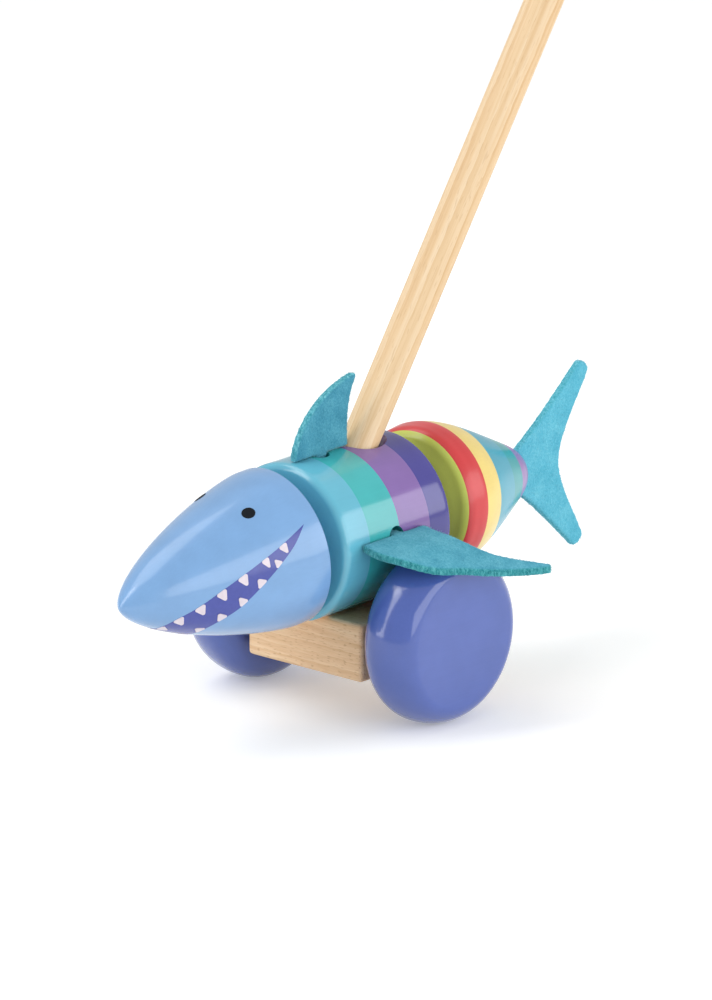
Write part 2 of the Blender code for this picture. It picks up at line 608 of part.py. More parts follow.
def caudal_outline():
    """The forked tail fin as (back, up) points from the pin: a front edge that follows the tail's
    round tip, with a tab in its middle, and two lobes about a notch."""
    tip = [(along, out) for along, out in tail_profile() if along > TAIL_TIP_START]
    seat = [(along + TOUCH_GAP + RUNNING_GAP, out) for along, out in tip]
    seat = [point for point in seat if TAB_WIDTH / 2 < point[1] < CAUDAL_ROOT_HALF_HEIGHT]
    root = (seat[0][0] - TOUCH_GAP, CAUDAL_ROOT_HALF_HEIGHT)
    top = CAUDAL_HALF_HEIGHT
    reach = CAUDAL_REACH - root[0]
    rise = top - root[1]
    lead_shares = ((0.25, 0.20), (0.62, 0.67))
    ease_shares = ((0.88, 1.0), (0.95, 0.985), (1.0, 0.90))
    handles = [(root[0] + a * reach, root[1] + b * rise) for a, b in lead_shares]
    ease = [(root[0] + a * reach, b * top) for a, b in ease_shares]
    lead = bezier(root, *handles, ease[0])
    fork = CAUDAL_REACH - CAUDAL_NOTCH
    trail_shares = ((0.73, 0.65), (0.02, 0.29))
    handles = [(CAUDAL_NOTCH + a * fork, b * top) for a, b in trail_shares]
    trail = bezier(ease[-1], *handles, (CAUDAL_NOTCH, 0))
    half = TAB_WIDTH / 2
    shoulder = TAIL_END + TOUCH_GAP + RUNNING_GAP
    tab = [(TAIL_END - TAB_LENGTH, half), (shoulder, half)]
    upper = tab + seat[::-1] + lead + ease[1:-1] + trail
    return upper + [(along, -out) for along, out in upper[-2::-1]]


def make_caudal_fin():
    mesh = plate("caudal_fin", caudal_outline(), FELT_THICKNESS)
    at = bpy.data.objects["tail_pivot"]
    lean = bpy.data.objects.new("caudal_lean", None)
    bpy.context.scene.collection.objects.link(lean)
    lean.parent = at
    lean.rotation_euler = (TAIL_DROOP, 0, 0)
    place("caudal_fin", mesh, ("teal_felt",), (0, 0, 0), (pi / 2, 0, pi / 2), lean)


def make_stick():
    foot, top = -STICK_DEPTH, STICK_LENGTH - STICK_DEPTH
    profile = [(foot, 0)]
    profile += arc((foot + STICK_FOOT_ROUND, STICK_RADIUS - STICK_FOOT_ROUND), STICK_FOOT_ROUND, pi, pi / 2, 2)
    profile += arc((top - STICK_TOP_ROUND, STICK_RADIUS - STICK_TOP_ROUND), STICK_TOP_ROUND, pi / 2, 0)
    profile.append((top, 0))
    mesh = turned("push_stick", profile, HOLE_SEGMENTS)
    place("push_stick", mesh, ("pale_dowel",), stick_mouth(), (-STICK_LEAN, 0, 0))


def main():
    clear_scene()
    make_block()
    make_axle()
    make_washers()
    make_wheels()
    make_screws()
    make_drum()
    make_tongues()
    make_head()
    make_tail()
    make_dorsal_fin()
    make_pectoral_fins()
    make_caudal_fin()
    make_stick()


main()
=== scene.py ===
from functools import partial
from math import ceil, cos, degrees, hypot, pi, radians, sin, tan

import bmesh
import bpy
from mathutils import Matrix, Vector, noise
from mathutils.geometry import interpolate_bezier


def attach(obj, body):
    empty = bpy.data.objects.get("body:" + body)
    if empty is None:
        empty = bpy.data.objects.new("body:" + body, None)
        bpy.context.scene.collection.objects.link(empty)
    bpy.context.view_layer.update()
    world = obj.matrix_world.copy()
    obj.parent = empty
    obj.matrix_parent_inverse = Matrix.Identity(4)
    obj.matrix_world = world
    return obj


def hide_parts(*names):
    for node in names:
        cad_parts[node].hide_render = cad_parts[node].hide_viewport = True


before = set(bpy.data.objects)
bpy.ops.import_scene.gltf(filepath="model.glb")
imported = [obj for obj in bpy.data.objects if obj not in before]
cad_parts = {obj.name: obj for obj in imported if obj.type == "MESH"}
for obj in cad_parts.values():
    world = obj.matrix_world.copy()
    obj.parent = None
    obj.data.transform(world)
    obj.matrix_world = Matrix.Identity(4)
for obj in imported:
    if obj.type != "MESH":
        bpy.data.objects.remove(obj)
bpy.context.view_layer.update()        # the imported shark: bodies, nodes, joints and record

# Wooden shark push toy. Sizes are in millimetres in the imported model's own frame:
# the nose points along -Y, the shark's left side along +X, and the underside of the block is at 0.
mm = 0.001
touchGap = 0.3       # between glued, pressed or screwed pieces
runningGap = 0.4     # round what turns or swings
overshoot = 4.0      # how far a cutter reaches past what it cuts
longest = 2.0        # longest stretch of a turned profile without a point
drumAxis = 36.4      # height of the body's long axis
axleHeight = 12.2


def at(x=0, y=0, z=0, turn=0, axis="X"):
    # A place, turned by some degrees about one axis
    return Matrix.Translation((x, y, z)) @ Matrix.Rotation(radians(turn), 4, axis)


# How the photo shows the head and the tail: degrees turned aside and nodding
headAside, headNod = -6, 6
tailAside, tailNod = 3.5, -3
headFrame = at(0, -36, drumAxis, headAside, "Z")
headLean = headFrame @ at(turn=headNod)
tailFrame = at(0, 29, drumAxis, tailAside, "Z")
tailLean = tailFrame @ at(turn=tailNod)


# Helpers for colours, nodes, outlines and meshes

def linear(hexText):
    shares = [int(hexText[i:i + 2], 16) / 255 for i in (1, 3, 5)]
    return [s / 12.92 if s <= 0.04045 else ((s + 0.055) / 1.055) ** 2.4 for s in shares] + [1.0]


def twoTones(hexText, dark, light, lift):
    # A colour made a little darker, and made a little paler
    base = linear(hexText)[:3]
    return [v * dark for v in base] + [1], [min(1, v * light + lift) for v in base] + [1]


def feed(node, inputs):
    # An input is a value, a socket to link from, or a node, which then gives its first live output
    for key, value in inputs.items():
        if isinstance(value, bpy.types.Node):
            value = next(socket for socket in value.outputs if socket.enabled)
        if isinstance(value, bpy.types.NodeSocket):
            node.id_data.links.new(value, node.inputs[key])
        else:
            node.inputs[key].default_value = value


def addNode(tree, kind, inputs=None, **settings):
    # A kind without Node in its name is one of Blender's ShaderNode kinds
    node = tree.nodes.new(kind if "Node" in kind else "ShaderNode" + kind)
    for key, value in settings.items():
        setattr(node, key, value)
    feed(node, inputs or {})
    return node


def newMaterial(name, **constants):
    # Also gives back what adds a node to it, its shader, and the place on the object that every
    # pattern here is drawn on
    material = bpy.data.materials.new(name)
    material.use_nodes = True
    add = partial(addNode, material.node_tree)
    shader = material.node_tree.nodes["Principled BSDF"]
    feed(shader, {key.replace("_", " "): value for key, value in constants.items()})
    return material, add, shader, add("TexCoord").outputs["Object"]


def setRamp(node, stops):
    # Colour stops as (place, hex colour), in rising order
    ramp = node.color_ramp
    while len(ramp.elements) > len(stops):
        ramp.elements.remove(ramp.elements[-1])
    while len(ramp.elements) < len(stops):
        ramp.elements.new(1.0)
    for element, (place, hexText) in zip(ramp.elements, stops):
        element.position = place
        element.color = linear(hexText)
    return node


def arc(centre, radius, start, end, steps):
    turns = [start + (end - start) * k / steps for k in range(steps + 1)]
    return [(centre[0] + radius * cos(a), centre[1] + radius * sin(a)) for a in turns]


def bezier(start, handleA, handleB, end, steps):
    return [tuple(p) for p in interpolate_bezier(start, handleA, handleB, end, steps)]


def stretched(points, wide, high, start=(0, 0)):
    return [(start[0] + a * wide, start[1] + b * high) for a, b in points]


def densified(profile, step, lines=()):
    # Adds points so that no stretch is longer than step, and one at each paint line, none just beside it
    points = [profile[0]]
    for (a, b), (c, d) in zip(profile, profile[1:]):
        count = ceil(hypot(c - a, d - b) / step)
        cuts = {k / count for k in range(1, count + 1)} or {1.0}
        if d > 0 and b > 0 and c > a:
            cuts |= {(line - a) / (c - a) for line in lines if a + 0.01 < line < c - 0.01}
            away = {s: [abs(a + s * (c - a) - line) for line in lines] for s in cuts}
            cuts = {s for s in cuts if s == 1.0 or all(v > 0.05 or v < 0.000001 for v in away[s])}
        points += [(a + s * (c - a), b + s * (d - b)) for s in sorted(cuts)]
    return points


def turned(profile, segments, lines=(), first=0):
    # A profile of (along, out) points turned about local Y; each paint line starts the next finish
    form = bmesh.new()
    rings = []
    for along, out in profile:
        count = segments if out > 0.0001 else 1
        spots = [2 * pi * k / segments for k in range(count)]
        rings.append([form.verts.new((out * sin(a), along, out * cos(a))) for a in spots])
    for near, far in zip(rings, rings[1:]):
        for k in range(segments):
            corners = [near[k % len(near)], near[(k + 1) % segments % len(near)],
                       far[(k + 1) % segments % len(far)], far[k % len(far)]]
            corners = list(dict.fromkeys(corners))
            if len(corners) > 2:
                face = form.faces.new(corners)
                along = sum(v.co.y for v in corners) / len(corners)
                face.material_index = first + sum(along > line for line in lines)
    bmesh.ops.recalc_face_normals(form, faces=form.faces)
    return form


def rodForm(start, end, radius, finish=0, segments=48):
    return turned([(start, 0), (start, radius), (end, radius), (end, 0)], segments, first=finish)


def boxForm(low, high):
    form = bmesh.new()
    bmesh.ops.create_cube(form, size=1)
    for vert in form.verts:
        vert.co = [a + (s + 0.5) * (b - a) for a, b, s in zip(low, high, vert.co)]
    return form


def placed(form, place):
    form.transform(place)
    return form


def meshOf(name, form, finishes=()):
    # The form becomes a mesh, and is freed
    mesh = bpy.data.meshes.new(name)
    form.to_mesh(mesh)
    form.free()
    for finish in finishes:
        mesh.materials.append(finish)
    return mesh


def shown(name, data):
    made = bpy.data.objects.new(name, data)
    bpy.context.scene.collection.objects.link(made)
    return made


def evaluated(made):
    # The object's mesh with its modifiers done
    bpy.context.view_layer.update()
    return bpy.data.meshes.new_from_object(made.evaluated_get(bpy.context.evaluated_depsgraph_get()))


def resultOf(made):
    # The same as a form to work on; the object is removed
    mesh = evaluated(made)
    form = bmesh.new()
    form.from_mesh(mesh)
    bpy.data.objects.remove(made)
    bpy.data.meshes.remove(mesh)
    return form


def carved(form, cutters, finishes):
    # Cuts the cutters out; a cut face keeps the finish number of its cutter
    target = shown("work", meshOf("work", form, finishes))
    helpers = [shown("work", meshOf("work", cutter, finishes)) for cutter in cutters]
    for helper in helpers:
        change = target.modifiers.new("cut", "BOOLEAN")
        change.operation = "DIFFERENCE"
        change.solver = "EXACT"
        change.material_mode = "INDEX"
        change.object = helper
    result = resultOf(target)
    for helper in helpers:
        bpy.data.objects.remove(helper)
    return result


def ridden(piece, body, standsFor=()):
    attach(piece, body)
    if standsFor:
        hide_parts(*standsFor)
    return piece


def finished(name, form, finishes, body, standsFor=(), sharp=30, weighted=False):
    # Turns a form in millimetres into a piece of the object in metres
    bmesh.ops.scale(form, vec=(mm, mm, mm), verts=form.verts)
    mesh = meshOf(name, form, finishes)
    mesh.shade_smooth()
    mesh.set_sharp_from_angle(angle=radians(sharp))
    piece = shown(name, mesh)
    if weighted:
        change = piece.modifiers.new("flat faces stay flat", "WEIGHTED_NORMAL")
        change.keep_sharp = True
        better = evaluated(piece)
        piece.modifiers.clear()
        piece.data = better
        better.name = name
    return ridden(piece, body, standsFor)


# Finishes

lacquerLook = {
    "peel": 2.2,          # width of the shallow waves that sprayed lacquer dries with
    "peelDepth": 0.005,
    "grain": 0.45,        # width of the wood's lines that still show under it
    "grainLength": 14.0,
    "grainDepth": 0.006,
    "grainShare": 0.35,   # how much the lines tint the colour
    "tone": 9.0,          # size of the soft cloudiness in the colour
    "tones": (0.95, 1.04, 0.002),
    "toneRange": (0.45, 0.9),
    "coatRoughness": 0.06,
}


def lacqueredBeech(name, hexText, roughness, coat, turn=(0, 0, 0)):
    # Coloured lacquer sprayed on turned beech: an even, glossy colour with faint waves, and lines of
    # grain along the piece that only the highlights show
    look = lacquerLook
    material, add, shader, spot = newMaterial(name, Roughness=roughness, IOR=1.5, Coat_Weight=coat,
                                              Coat_Roughness=look["coatRoughness"])
    level = add("Mapping", {"Vector": spot, "Rotation": turn}, vector_type="TEXTURE")
    wide, narrow = 1 / (look["grain"] * mm), 1 / (look["grainLength"] * mm)
    drawnOut = add("Mapping", {"Vector": level, "Scale": (wide, narrow, wide)})
    lines = add("TexNoise", {"Vector": drawnOut, "Scale": 1.0, "Detail": 3.0})
    cloud = add("TexNoise", {"Vector": spot, "Scale": 1 / (look["tone"] * mm), "Detail": 2.0})
    both = add("Math", {0: lines, 1: look["grainShare"], 2: cloud}, operation="MULTIPLY_ADD")
    low, high = look["toneRange"]
    share = add("MapRange", {"Value": both, "From Min": low, "From Max": high})
    deep, pale = twoTones(hexText, *look["tones"])
    colour = add("Mix", {0: share, 6: deep, 7: pale}, data_type="RGBA")
    waves = add("TexNoise", {"Vector": spot, "Scale": 1 / (look["peel"] * mm), "Detail": 1.0})
    bumpLines = add("Bump", {"Height": lines, "Distance": look["grainDepth"] * mm})
    bump = add("Bump", {"Height": waves, "Normal": bumpLines, "Distance": look["peelDepth"] * mm})
    feed(shader, {"Base Color": colour, "Normal": bump, "Coat Normal": bump})
    return material


inkLook = {"grain": 1.2, "tones": (0.88, 1.08, 0.004), "relief": 0.004}


def printedInk(name, hexText, roughness, gloss):
    # A pad-printed film of ink: flat colour with a touch of unevenness, glossy unless it is printed dull
    look = inkLook
    material, add, shader, spot = newMaterial(name, Roughness=roughness, IOR=1.5, Specular_IOR_Level=gloss)
    grain = add("TexNoise", {"Vector": spot, "Scale": 1 / (look["grain"] * mm), "Detail": 3.0})
    deep, pale = twoTones(hexText, *look["tones"])
    colour = add("Mix", {0: grain, 6: deep, 7: pale}, data_type="RGBA")
    bump = add("Bump", {"Height": grain, "Distance": look["relief"] * mm})
    feed(shader, {"Base Color": colour, "Normal": bump})
    return material


waveLength = 0.314      # of Blender's wave texture at a scale of 1
# Where each pattern's values start and stop to count, and how rough the wood is
beechLook = {"growth": (0.25, 0.75), "pore": (0.35, 0.75), "dashBlend": 0.06, "rough": (0.48, 0.68)}
# Sanded beech: growth lines, fine pores and short dark dashes, each with its width and length
blockGrain = {
    "pith": (0, 22.0, 31.0), "ring": 2.6, "wander": 1.6, "wanderScale": 1.5, "ringShare": 0.35,
    "pore": 0.22, "poreLength": 5.0, "poreShare": 0.30, "poreColour": "#B98A5C",
    "streak": 1.6, "streakLength": 22.0, "relief": 0.03,
    "dash": 0.36, "dashLength": 1.9, "dashFrom": 0.66, "dashShare": 0.38, "dashColour": "#B07C50",
    "tones": [(0.0, "#F5D8B2"), (0.5, "#EDC9A0"), (1.0, "#DDB385")],
}
dowelGrain = {
    "pith": (0, 40.0, 26.0), "ring": 3.4, "wander": 1.2, "wanderScale": 1.0, "ringShare": 0.45,
    "pore": 0.16, "poreLength": 9.0, "poreShare": 0.22, "poreColour": "#CFA878",
    "streak": 0.9, "streakLength": 60.0, "relief": 0.02,
    "dash": 0.35, "dashLength": 3.0, "dashFrom": 0.68, "dashShare": 0.25, "dashColour": "#B99062",
    "tones": [(0.0, "#EAD5B6"), (0.5, "#E1C49C"), (1.0, "#D0AB7D")],
}


def bareBeech(name, look, turn=(0, 0, 0), centre=(0, 0, 0)):
    # Sanded, unpainted beech: pale, with growth lines a few millimetres apart, fine pores along the
    # fibre and the short darker dashes of its rays; matt with a slight sheen. Fibre runs along local X
    material, add, shader, spot = newMaterial(name, IOR=1.5, Specular_IOR_Level=0.35)
    level = add("Mapping", {"Vector": spot, "Rotation": turn, "Location": [v * mm for v in centre]},
                vector_type="TEXTURE")
    pith = add("Mapping", {"Vector": level, "Location": [v * mm for v in look["pith"]]})
    rings = add("TexWave",
                {"Vector": pith, "Scale": waveLength / (look["ring"] * mm), "Distortion": look["wander"],
                 "Detail": 2.0, "Detail Scale": look["wanderScale"]}, wave_type="RINGS",
                rings_direction="X", wave_profile="SAW")
    marks = []
    for kind, detail in (("pore", 3.0), ("streak", 2.0), ("dash", 0.0)):
        wide, long = 1 / (look[kind] * mm), 1 / (look[kind + "Length"] * mm)
        drawnOut = add("Mapping", {"Vector": level, "Scale": (long, wide, wide)})
        marks.append(add("TexNoise", {"Vector": drawnOut, "Scale": 1.0, "Detail": detail}))
    pores, streaks, dashes = marks
    mixed = add("Math", {0: rings.outputs["Fac"], 1: look["ringShare"], 2: streaks},
                operation="MULTIPLY_ADD")
    low, high = beechLook["growth"]
    growth = add("MapRange", {"Value": mixed, "From Min": low, "From Max": high + look["ringShare"]})
    colour = setRamp(add("ValToRGB", {"Fac": growth}), look["tones"])
    dashRange = (look["dashFrom"], look["dashFrom"] + beechLook["dashBlend"])
    for mark, kind, (low, high) in ((pores, "pore", beechLook["pore"]), (dashes, "dash", dashRange)):
        share = add("MapRange",
                    {"Value": mark, "From Min": low, "From Max": high, "To Max": look[kind + "Share"]})
        colour = add("Mix", {0: share, 6: colour, 7: linear(look[kind + "Colour"])}, data_type="RGBA")
    low, high = beechLook["rough"]
    rough = add("MapRange", {"Value": pores, "To Min": low, "To Max": high})
    bump = add("Bump", {"Height": pores, "Distance": look["relief"] * mm})
    feed(shader, {"Base Color": colour, "Roughness": rough, "Normal": bump})
    return material


feltLook = {
    "mottle": 0.55, "patch": 5.0, "patchShare": 0.5, "tangle": 1.6, "tangleReach": 0.9, "relief": 0.14,
    "bloom": "#9FD6DE", "tuft": (0.55, 0.55, 1.6), "toneRange": (0.5, 1.0), "tuftRange": (0.3, 0.7),
    "tones": [(0.0, "#37869F"), (0.45, "#4B9AB1"), (1.0, "#68B3C6")],
    # side fins: the cut edge is drawn darker and greener than the face
    "edgeTonesAndHighlight": [(0.0, "#1D6F77"), (0.5, "#368F96"), (1.0, "#5FB5BA")],
}
# pale and deep felts: edge tones paler than the face, a painted highlight where the cut edge catches light
# from above
paleFeltLook = dict(feltLook, tones=[(0.0, "#47A3BC"), (0.45, "#59B1C9"), (1.0, "#75C5D8")],
                    edgeTonesAndHighlight=[(0.0, "#3C9BAA"), (0.5, "#55B1C4"), (1.0, "#78C8DA")])
backFeltLook = dict(feltLook, tones=[(0.0, "#2F7A93"), (0.45, "#428CA5"), (1.0, "#5DA8BC")],
                    edgeTonesAndHighlight=[(0.0, "#2F8896"), (0.5, "#58AABA"), (1.0, "#86D0DA")])


def woolFelt(name, look):
    # Pressed wool felt: matted fibres without a weave, so the colour is mottled, nothing shines and
    # the outline is soft; tufts of fibre ends run across the cut edge, coloured from a ramp of its own:
    # on the side fins darker and greener than the face, on the dorsal and tail fins paler, a painted
    # highlight where the edge catches light from above
    material, add, shader, spot = newMaterial(
        name, Roughness=1.0, Specular_IOR_Level=0.15, Sheen_Weight=0.25, Sheen_Roughness=0.6,
        Sheen_Tint=linear(look["bloom"]))
    warp = add("TexNoise", {"Vector": spot, "Scale": 1 / (look["tangle"] * mm), "Detail": 2.0})
    reach = look["tangleReach"] * mm
    bent = add("VectorMath", {0: warp.outputs["Color"], 1: (reach, reach, reach), 2: spot},
               operation="MULTIPLY_ADD")
    matted = add("TexNoise",
                 {"Vector": bent, "Scale": 1 / (look["mottle"] * mm), "Detail": 5.0, "Roughness": 0.7})
    patches = add("TexNoise", {"Vector": spot, "Scale": 1 / (look["patch"] * mm), "Detail": 2.0})
    height = add("Math", {0: patches, 1: look["patchShare"], 2: matted}, operation="MULTIPLY_ADD")
    low, high = look["toneRange"]
    share = add("MapRange", {"Value": height, "From Min": low, "From Max": high})
    face = setRamp(add("ValToRGB", {"Fac": share}), look["tones"])
    across = add("Mapping", {"Vector": bent, "Scale": [1 / (v * mm) for v in look["tuft"]]})
    tufts = add("TexNoise", {"Vector": across, "Scale": 1.0, "Detail": 4.0})
    low, high = look["tuftRange"]
    rimShare = add("MapRange", {"Value": tufts, "From Min": low, "From Max": high})
    # the cut edge's own ramp; on the dorsal and tail fins it is a painted highlight
    rim = setRamp(add("ValToRGB", {"Fac": rimShare}), look["edgeTonesAndHighlight"])
    edge = add("Attribute", attribute_name="cutEdge").outputs["Fac"]
    colour = add("Mix", {0: edge, 6: face, 7: rim}, data_type="RGBA")
    relief = add("Mix", {0: edge, 2: matted, 3: tufts}, data_type="FLOAT")
    bump = add("Bump", {"Height": relief, "Distance": look["relief"] * mm})
    feed(shader, {"Base Color": colour, "Normal": bump})
    return material


def evenSurface(name, look, **constants):
    # One fine noise gives the tones, and the roughness and the relief where the look has them
    material, add, shader, spot = newMaterial(name, **constants)
    fine = add("TexNoise", {"Vector": spot, "Scale": 1 / (look["fine"] * mm), "Detail": look["detail"]})
    tone = setRamp(add("ValToRGB", {"Fac": fine}), look["tones"])
    feed(shader, {"Base Color": tone})
    if "rough" in look:
        low, high = look["rough"]
        rough = add("MapRange", {"Value": fine, "To Min": low, "To Max": high})
        feed(shader, {"Roughness": rough})
    if "relief" in look:
        bump = add("Bump", {"Height": fine, "Distance": look["relief"] * mm})
        feed(shader, {"Normal": bump})
    return material


# Zinc-plated steel: a soft grey metal, evenly satin from the bath, with faint turning lines
steelLook = {"fine": 0.6, "detail": 3.0, "tones": [(0.3, "#A9ACAE"), (0.7, "#C4C6C6")],
             "rough": (0.26, 0.42), "relief": 0.01}
# Moulded nylon: a milky white plastic with a slight haze to its gloss
nylonLook = {"fine": 1.5, "detail": 3.0, "tones": [(0.3, "#DEDCD4"), (0.7, "#EBEAE4")],
             "rough": (0.36, 0.5)}
# Single loose wool fibres: dull, and a little uneven in colour from one to the next
fibreTones = {"fine": 0.7, "detail": 1.0, "tones": [(0.35, "#3F95A6"), (0.65, "#7CC6D2")]}
paleFibreTones = dict(fibreTones, tones=[(0.35, "#5BB2C8"), (0.65, "#93D6E4")])

headGrain = (radians(headNod), 0, radians(headAside))
tailGrain = (radians(tailNod), 0, radians(tailAside))
drumGloss = (0.16, 0.4)
tailGloss = (0.30, 0.15, tailGrain)
lacquers = {
    # colour, then roughness, clear coat and the way the grain runs
    "headBlue": ("pale blue", "#76A1D0", 0.24, 0.4, headGrain),
    "lightBlue": ("light blue", "#61B2C9", *drumGloss),
    "teal": ("teal", "#3DAFB1", *drumGloss),
    "purple": ("purple", "#8163A4", *drumGloss),
    "violet": ("blue violet", "#433F8E", *drumGloss),
    "tailGreen": ("green", "#C6D25E", *tailGloss),
    "tailRed": ("red", "#D03D40", *tailGloss),
    "tailYellow": ("yellow", "#EBD27A", *tailGloss),
    "tailBlue": ("sky blue", "#3AA0B8", *tailGloss),
    "tailTeal": ("sea green", "#289CA2", *tailGloss),
    "tailPurple": ("lilac", "#936EAF", *tailGloss),
    "wheelBlue": ("wheel violet", "#4A5FA8", *drumGloss),
}
dull = {"Roughness": 1.0, "Specular_IOR_Level": 0.1}
stickBack, stickLean = 4.4, 35.0      # where the stick enters, and degrees that it leans back
finishes = {key: lacqueredBeech(f"lacquered beech, {label}", *rest)
            for key, (label, *rest) in lacquers.items()}
finishes |= {
    "mouthInk": printedInk("printed ink, violet", "#404B9E", 0.24, 0.6),
    "toothInk": printedInk("printed ink, white", "#DCD1DA", 0.30, 0.5),
    "eyeInk": printedInk("printed ink, black", "#14181E", 0.6, 0.1),
    "beech": bareBeech("sanded beech", blockGrain),
    "beechAlong": bareBeech("sanded beech along the body", blockGrain, (0, 0, pi / 2)),
    "beechUpright": bareBeech("sanded beech upright", blockGrain, (0, pi / 2, 0)),
    "dowel": bareBeech("pale sanded dowel", dowelGrain, (0, radians(stickLean - 90), pi / 2),
                       (0, stickBack, 58.0)),
    "felt": woolFelt("pressed wool felt, teal", feltLook),
    "backFelt": woolFelt("pressed wool felt, deep teal", backFeltLook),
    "paleFelt": woolFelt("pressed wool felt, pale teal", paleFeltLook),
    "fibres": evenSurface("loose wool fibres, teal", fibreTones, **dull),
    "paleFibres": evenSurface("loose wool fibres, pale teal", paleFibreTones, **dull),
    "steel": evenSurface("zinc-plated steel", steelLook, Metallic=1.0),
    "nylon": evenSurface("moulded nylon", nylonLook, IOR=1.53),
}
print("finishes made:", len(finishes))


# Head, with its grin, teeth and eyes

# The flat tongues and upright pins that the head and the tail swing on
tongueLook = {"half": 6.0, "halfHigh": 3.0, "pin": 2.5, "pinTop": 11.0}
headLook = {
    "radius": 21.6, "rear": 6.1, "straight": 4.0, "taper": 51.8, "edge": 0.4,
    "taperPower": 1.277, "bluntPower": 0.635, "swing": 10, "pinFoot": 26.0,
    "segments": 176, "steps": 54,
}


def headRadius(s):
    # The painted surface's distance from the head's axis, s behind its pin
    share = min(max((headLook["rear"] - headLook["straight"] - s) / headLook["taper"], 0), 1)
    return headLook["radius"] * (1 - share ** headLook["taperPower"]) ** headLook["bluntPower"]


def slotCutters(place, mouth, swing, pinFoot):
    # The level slot for a tongue, and the pin's hole from below, in a swinging piece
    look = tongueLook
    half = look["half"] / cos(radians(swing)) + abs(mouth) * tan(radians(swing)) + runningGap
    high = look["halfHigh"] + runningGap
    sign = 1 if mouth > 0 else -1
    ends = sorted((mouth + sign * overshoot, -sign * (look["half"] + runningGap)))
    slot = boxForm((-half, ends[0], -high), (half, ends[1], high))
    hole = rodForm(-pinFoot, look["pinTop"] + touchGap, look["pin"] + touchGap)
    return [placed(slot, place), placed(hole, place @ at(turn=90))]


def makeHead():
    look = headLook
    widest = look["rear"] - look["straight"]
    shares = [sin(pi / 2 * k / look["steps"]) for k in range(look["steps"], -1, -1)]
    profile = [(widest - s * look["taper"], headRadius(widest - s * look["taper"])) for s in shares]
    profile[0] = (widest - look["taper"], 0)
    edge = look["edge"]
    profile += arc((look["rear"] - edge, look["radius"] - edge), edge, pi / 2, 0, 4)
    profile.append((look["rear"], 0))
    form = placed(turned(profile, look["segments"], first=1), headLean)
    paints = [finishes["beechAlong"], finishes["headBlue"]]
    cutters = slotCutters(headFrame, look["rear"], look["swing"], look["pinFoot"])
    finished("headShell", carved(form, cutters, paints), paints, "head_body", ["head"])


def onHead(s, turn, lift=0):
    # A point lift above the head's surface, s behind the pin and turn degrees from straight up to its left
    out = headRadius(s) + lift
    return headLean @ Vector((out * sin(radians(turn)), s, out * cos(radians(turn))))


faceLook = {
    # edges of the mouth as (degrees from straight up, distance behind the pin), on the left side
    "upperLip": [(56.4, 0.9), (65.2, -8.3), (71.6, -15.0), (78.7, -21.3), (87.8, -27.2), (100.8, -32.6),
                 (116.3, -37.0), (135.0, -39.4), (155.0, -40.3), (180.0, -40.6), (205.0, -40.3)],
    "lowerLip": [(56.4, 0.9), (67.9, -4.0), (79.2, -9.8), (93.7, -16.3), (109.7, -21.7), (123.7, -26.0),
                 (138.0, -28.6), (155.0, -29.9), (180.0, -30.4), (205.0, -29.9)],
    "mouthRows": 200, "mouthColumns": 16, "mouthLift": 0.05, "narrowest": 0.04, "underside": 0.004,
    # each tooth's place on its lip in degrees from straight up, then its width and height as shares
    # of the sizes below
    "upperTeeth": [(64.3, 0.85, 0.88), (69.9, 0.76, 0.90), (77.6, 1, 1), (86.8, 1.03, 1),
                   (100.3, 1.05, 1), (118.5, 1, 1), (150.0, 0.95, 0.95)],
    "lowerTeeth": [(78.6, 0.76, 0.74), (90.6, 1, 0.80), (105.0, 0.87, 0.95), (121.3, 0.97, 0.96),
                   (143.0, 0.95, 0.9), (168.0, 0.9, 0.9)],
    "toothWidth": 3.6, "toothHeight": 3.5, "toothRound": 0.52, "toothThick": 0.14, "toothSunk": 0.05,
    # the eye's distance behind the pin and degrees from straight up, then its half sizes
    "eye": (-10.66, 29.4), "eyeLong": 1.86, "eyeWide": 1.73, "eyeLift": 0.06,
    "eyeRings": 8, "eyeSpots": 40,
}


def filmForm(rows, lift, spot=False):
    # A closed thin film of paint over rows of (s, turn) points: a strip with pointed ends, or a round spot
    form = bmesh.new()
    layers = []
    for height in (faceLook["underside"], lift):
        layers.append([[form.verts.new(onHead(s, turn, height)) for s, turn in row] for row in rows])
    for layer in layers:
        for near, far in zip(layer, layer[1:]):
            for k in range(len(near) - 1):
                form.faces.new((near[k], near[k + 1], far[k + 1], far[k]))
    low, high = layers
    rims = [(low[-1], high[-1])]
    if not spot:
        rims = [([row[end] for row in low], [row[end] for row in high]) for end in (0, -1)]
    for under, over in rims:
        for k in range(len(under) - 1):
            form.faces.new((under[k], under[k + 1], over[k + 1], over[k]))
    bmesh.ops.remove_doubles(form, verts=form.verts, dist=0.001)
    bmesh.ops.dissolve_degenerate(form, edges=form.edges, dist=0.0005)
    bmesh.ops.recalc_face_normals(form, faces=form.faces)
    return form


def smoothTable(table, x):
    # A smooth curve through (x, y) points that rise in x
    if x <= table[0][0]:
        return table[0][1]
    for k in range(len(table) - 1):
        (x0, y0), (x1, y1) = table[k], table[k + 1]
        if x <= x1:
            before = table[k - 1] if k else (2 * x0 - x1, 2 * y0 - y1)
            after = table[k + 2] if k + 2 < len(table) else (2 * x1 - x0, 2 * y1 - y0)
            m0 = (y1 - before[1]) / (x1 - before[0])
            m1 = (after[1] - y0) / (after[0] - x0)
            t = (x - x0) / (x1 - x0)
            w = x1 - x0
            return ((2 * t**3 - 3 * t**2 + 1) * y0 + (t**3 - 2 * t**2 + t) * w * m0
                    + (3 * t**2 - 2 * t**3) * y1 + (t**3 - t**2) * w * m1)
    return table[-1][1]


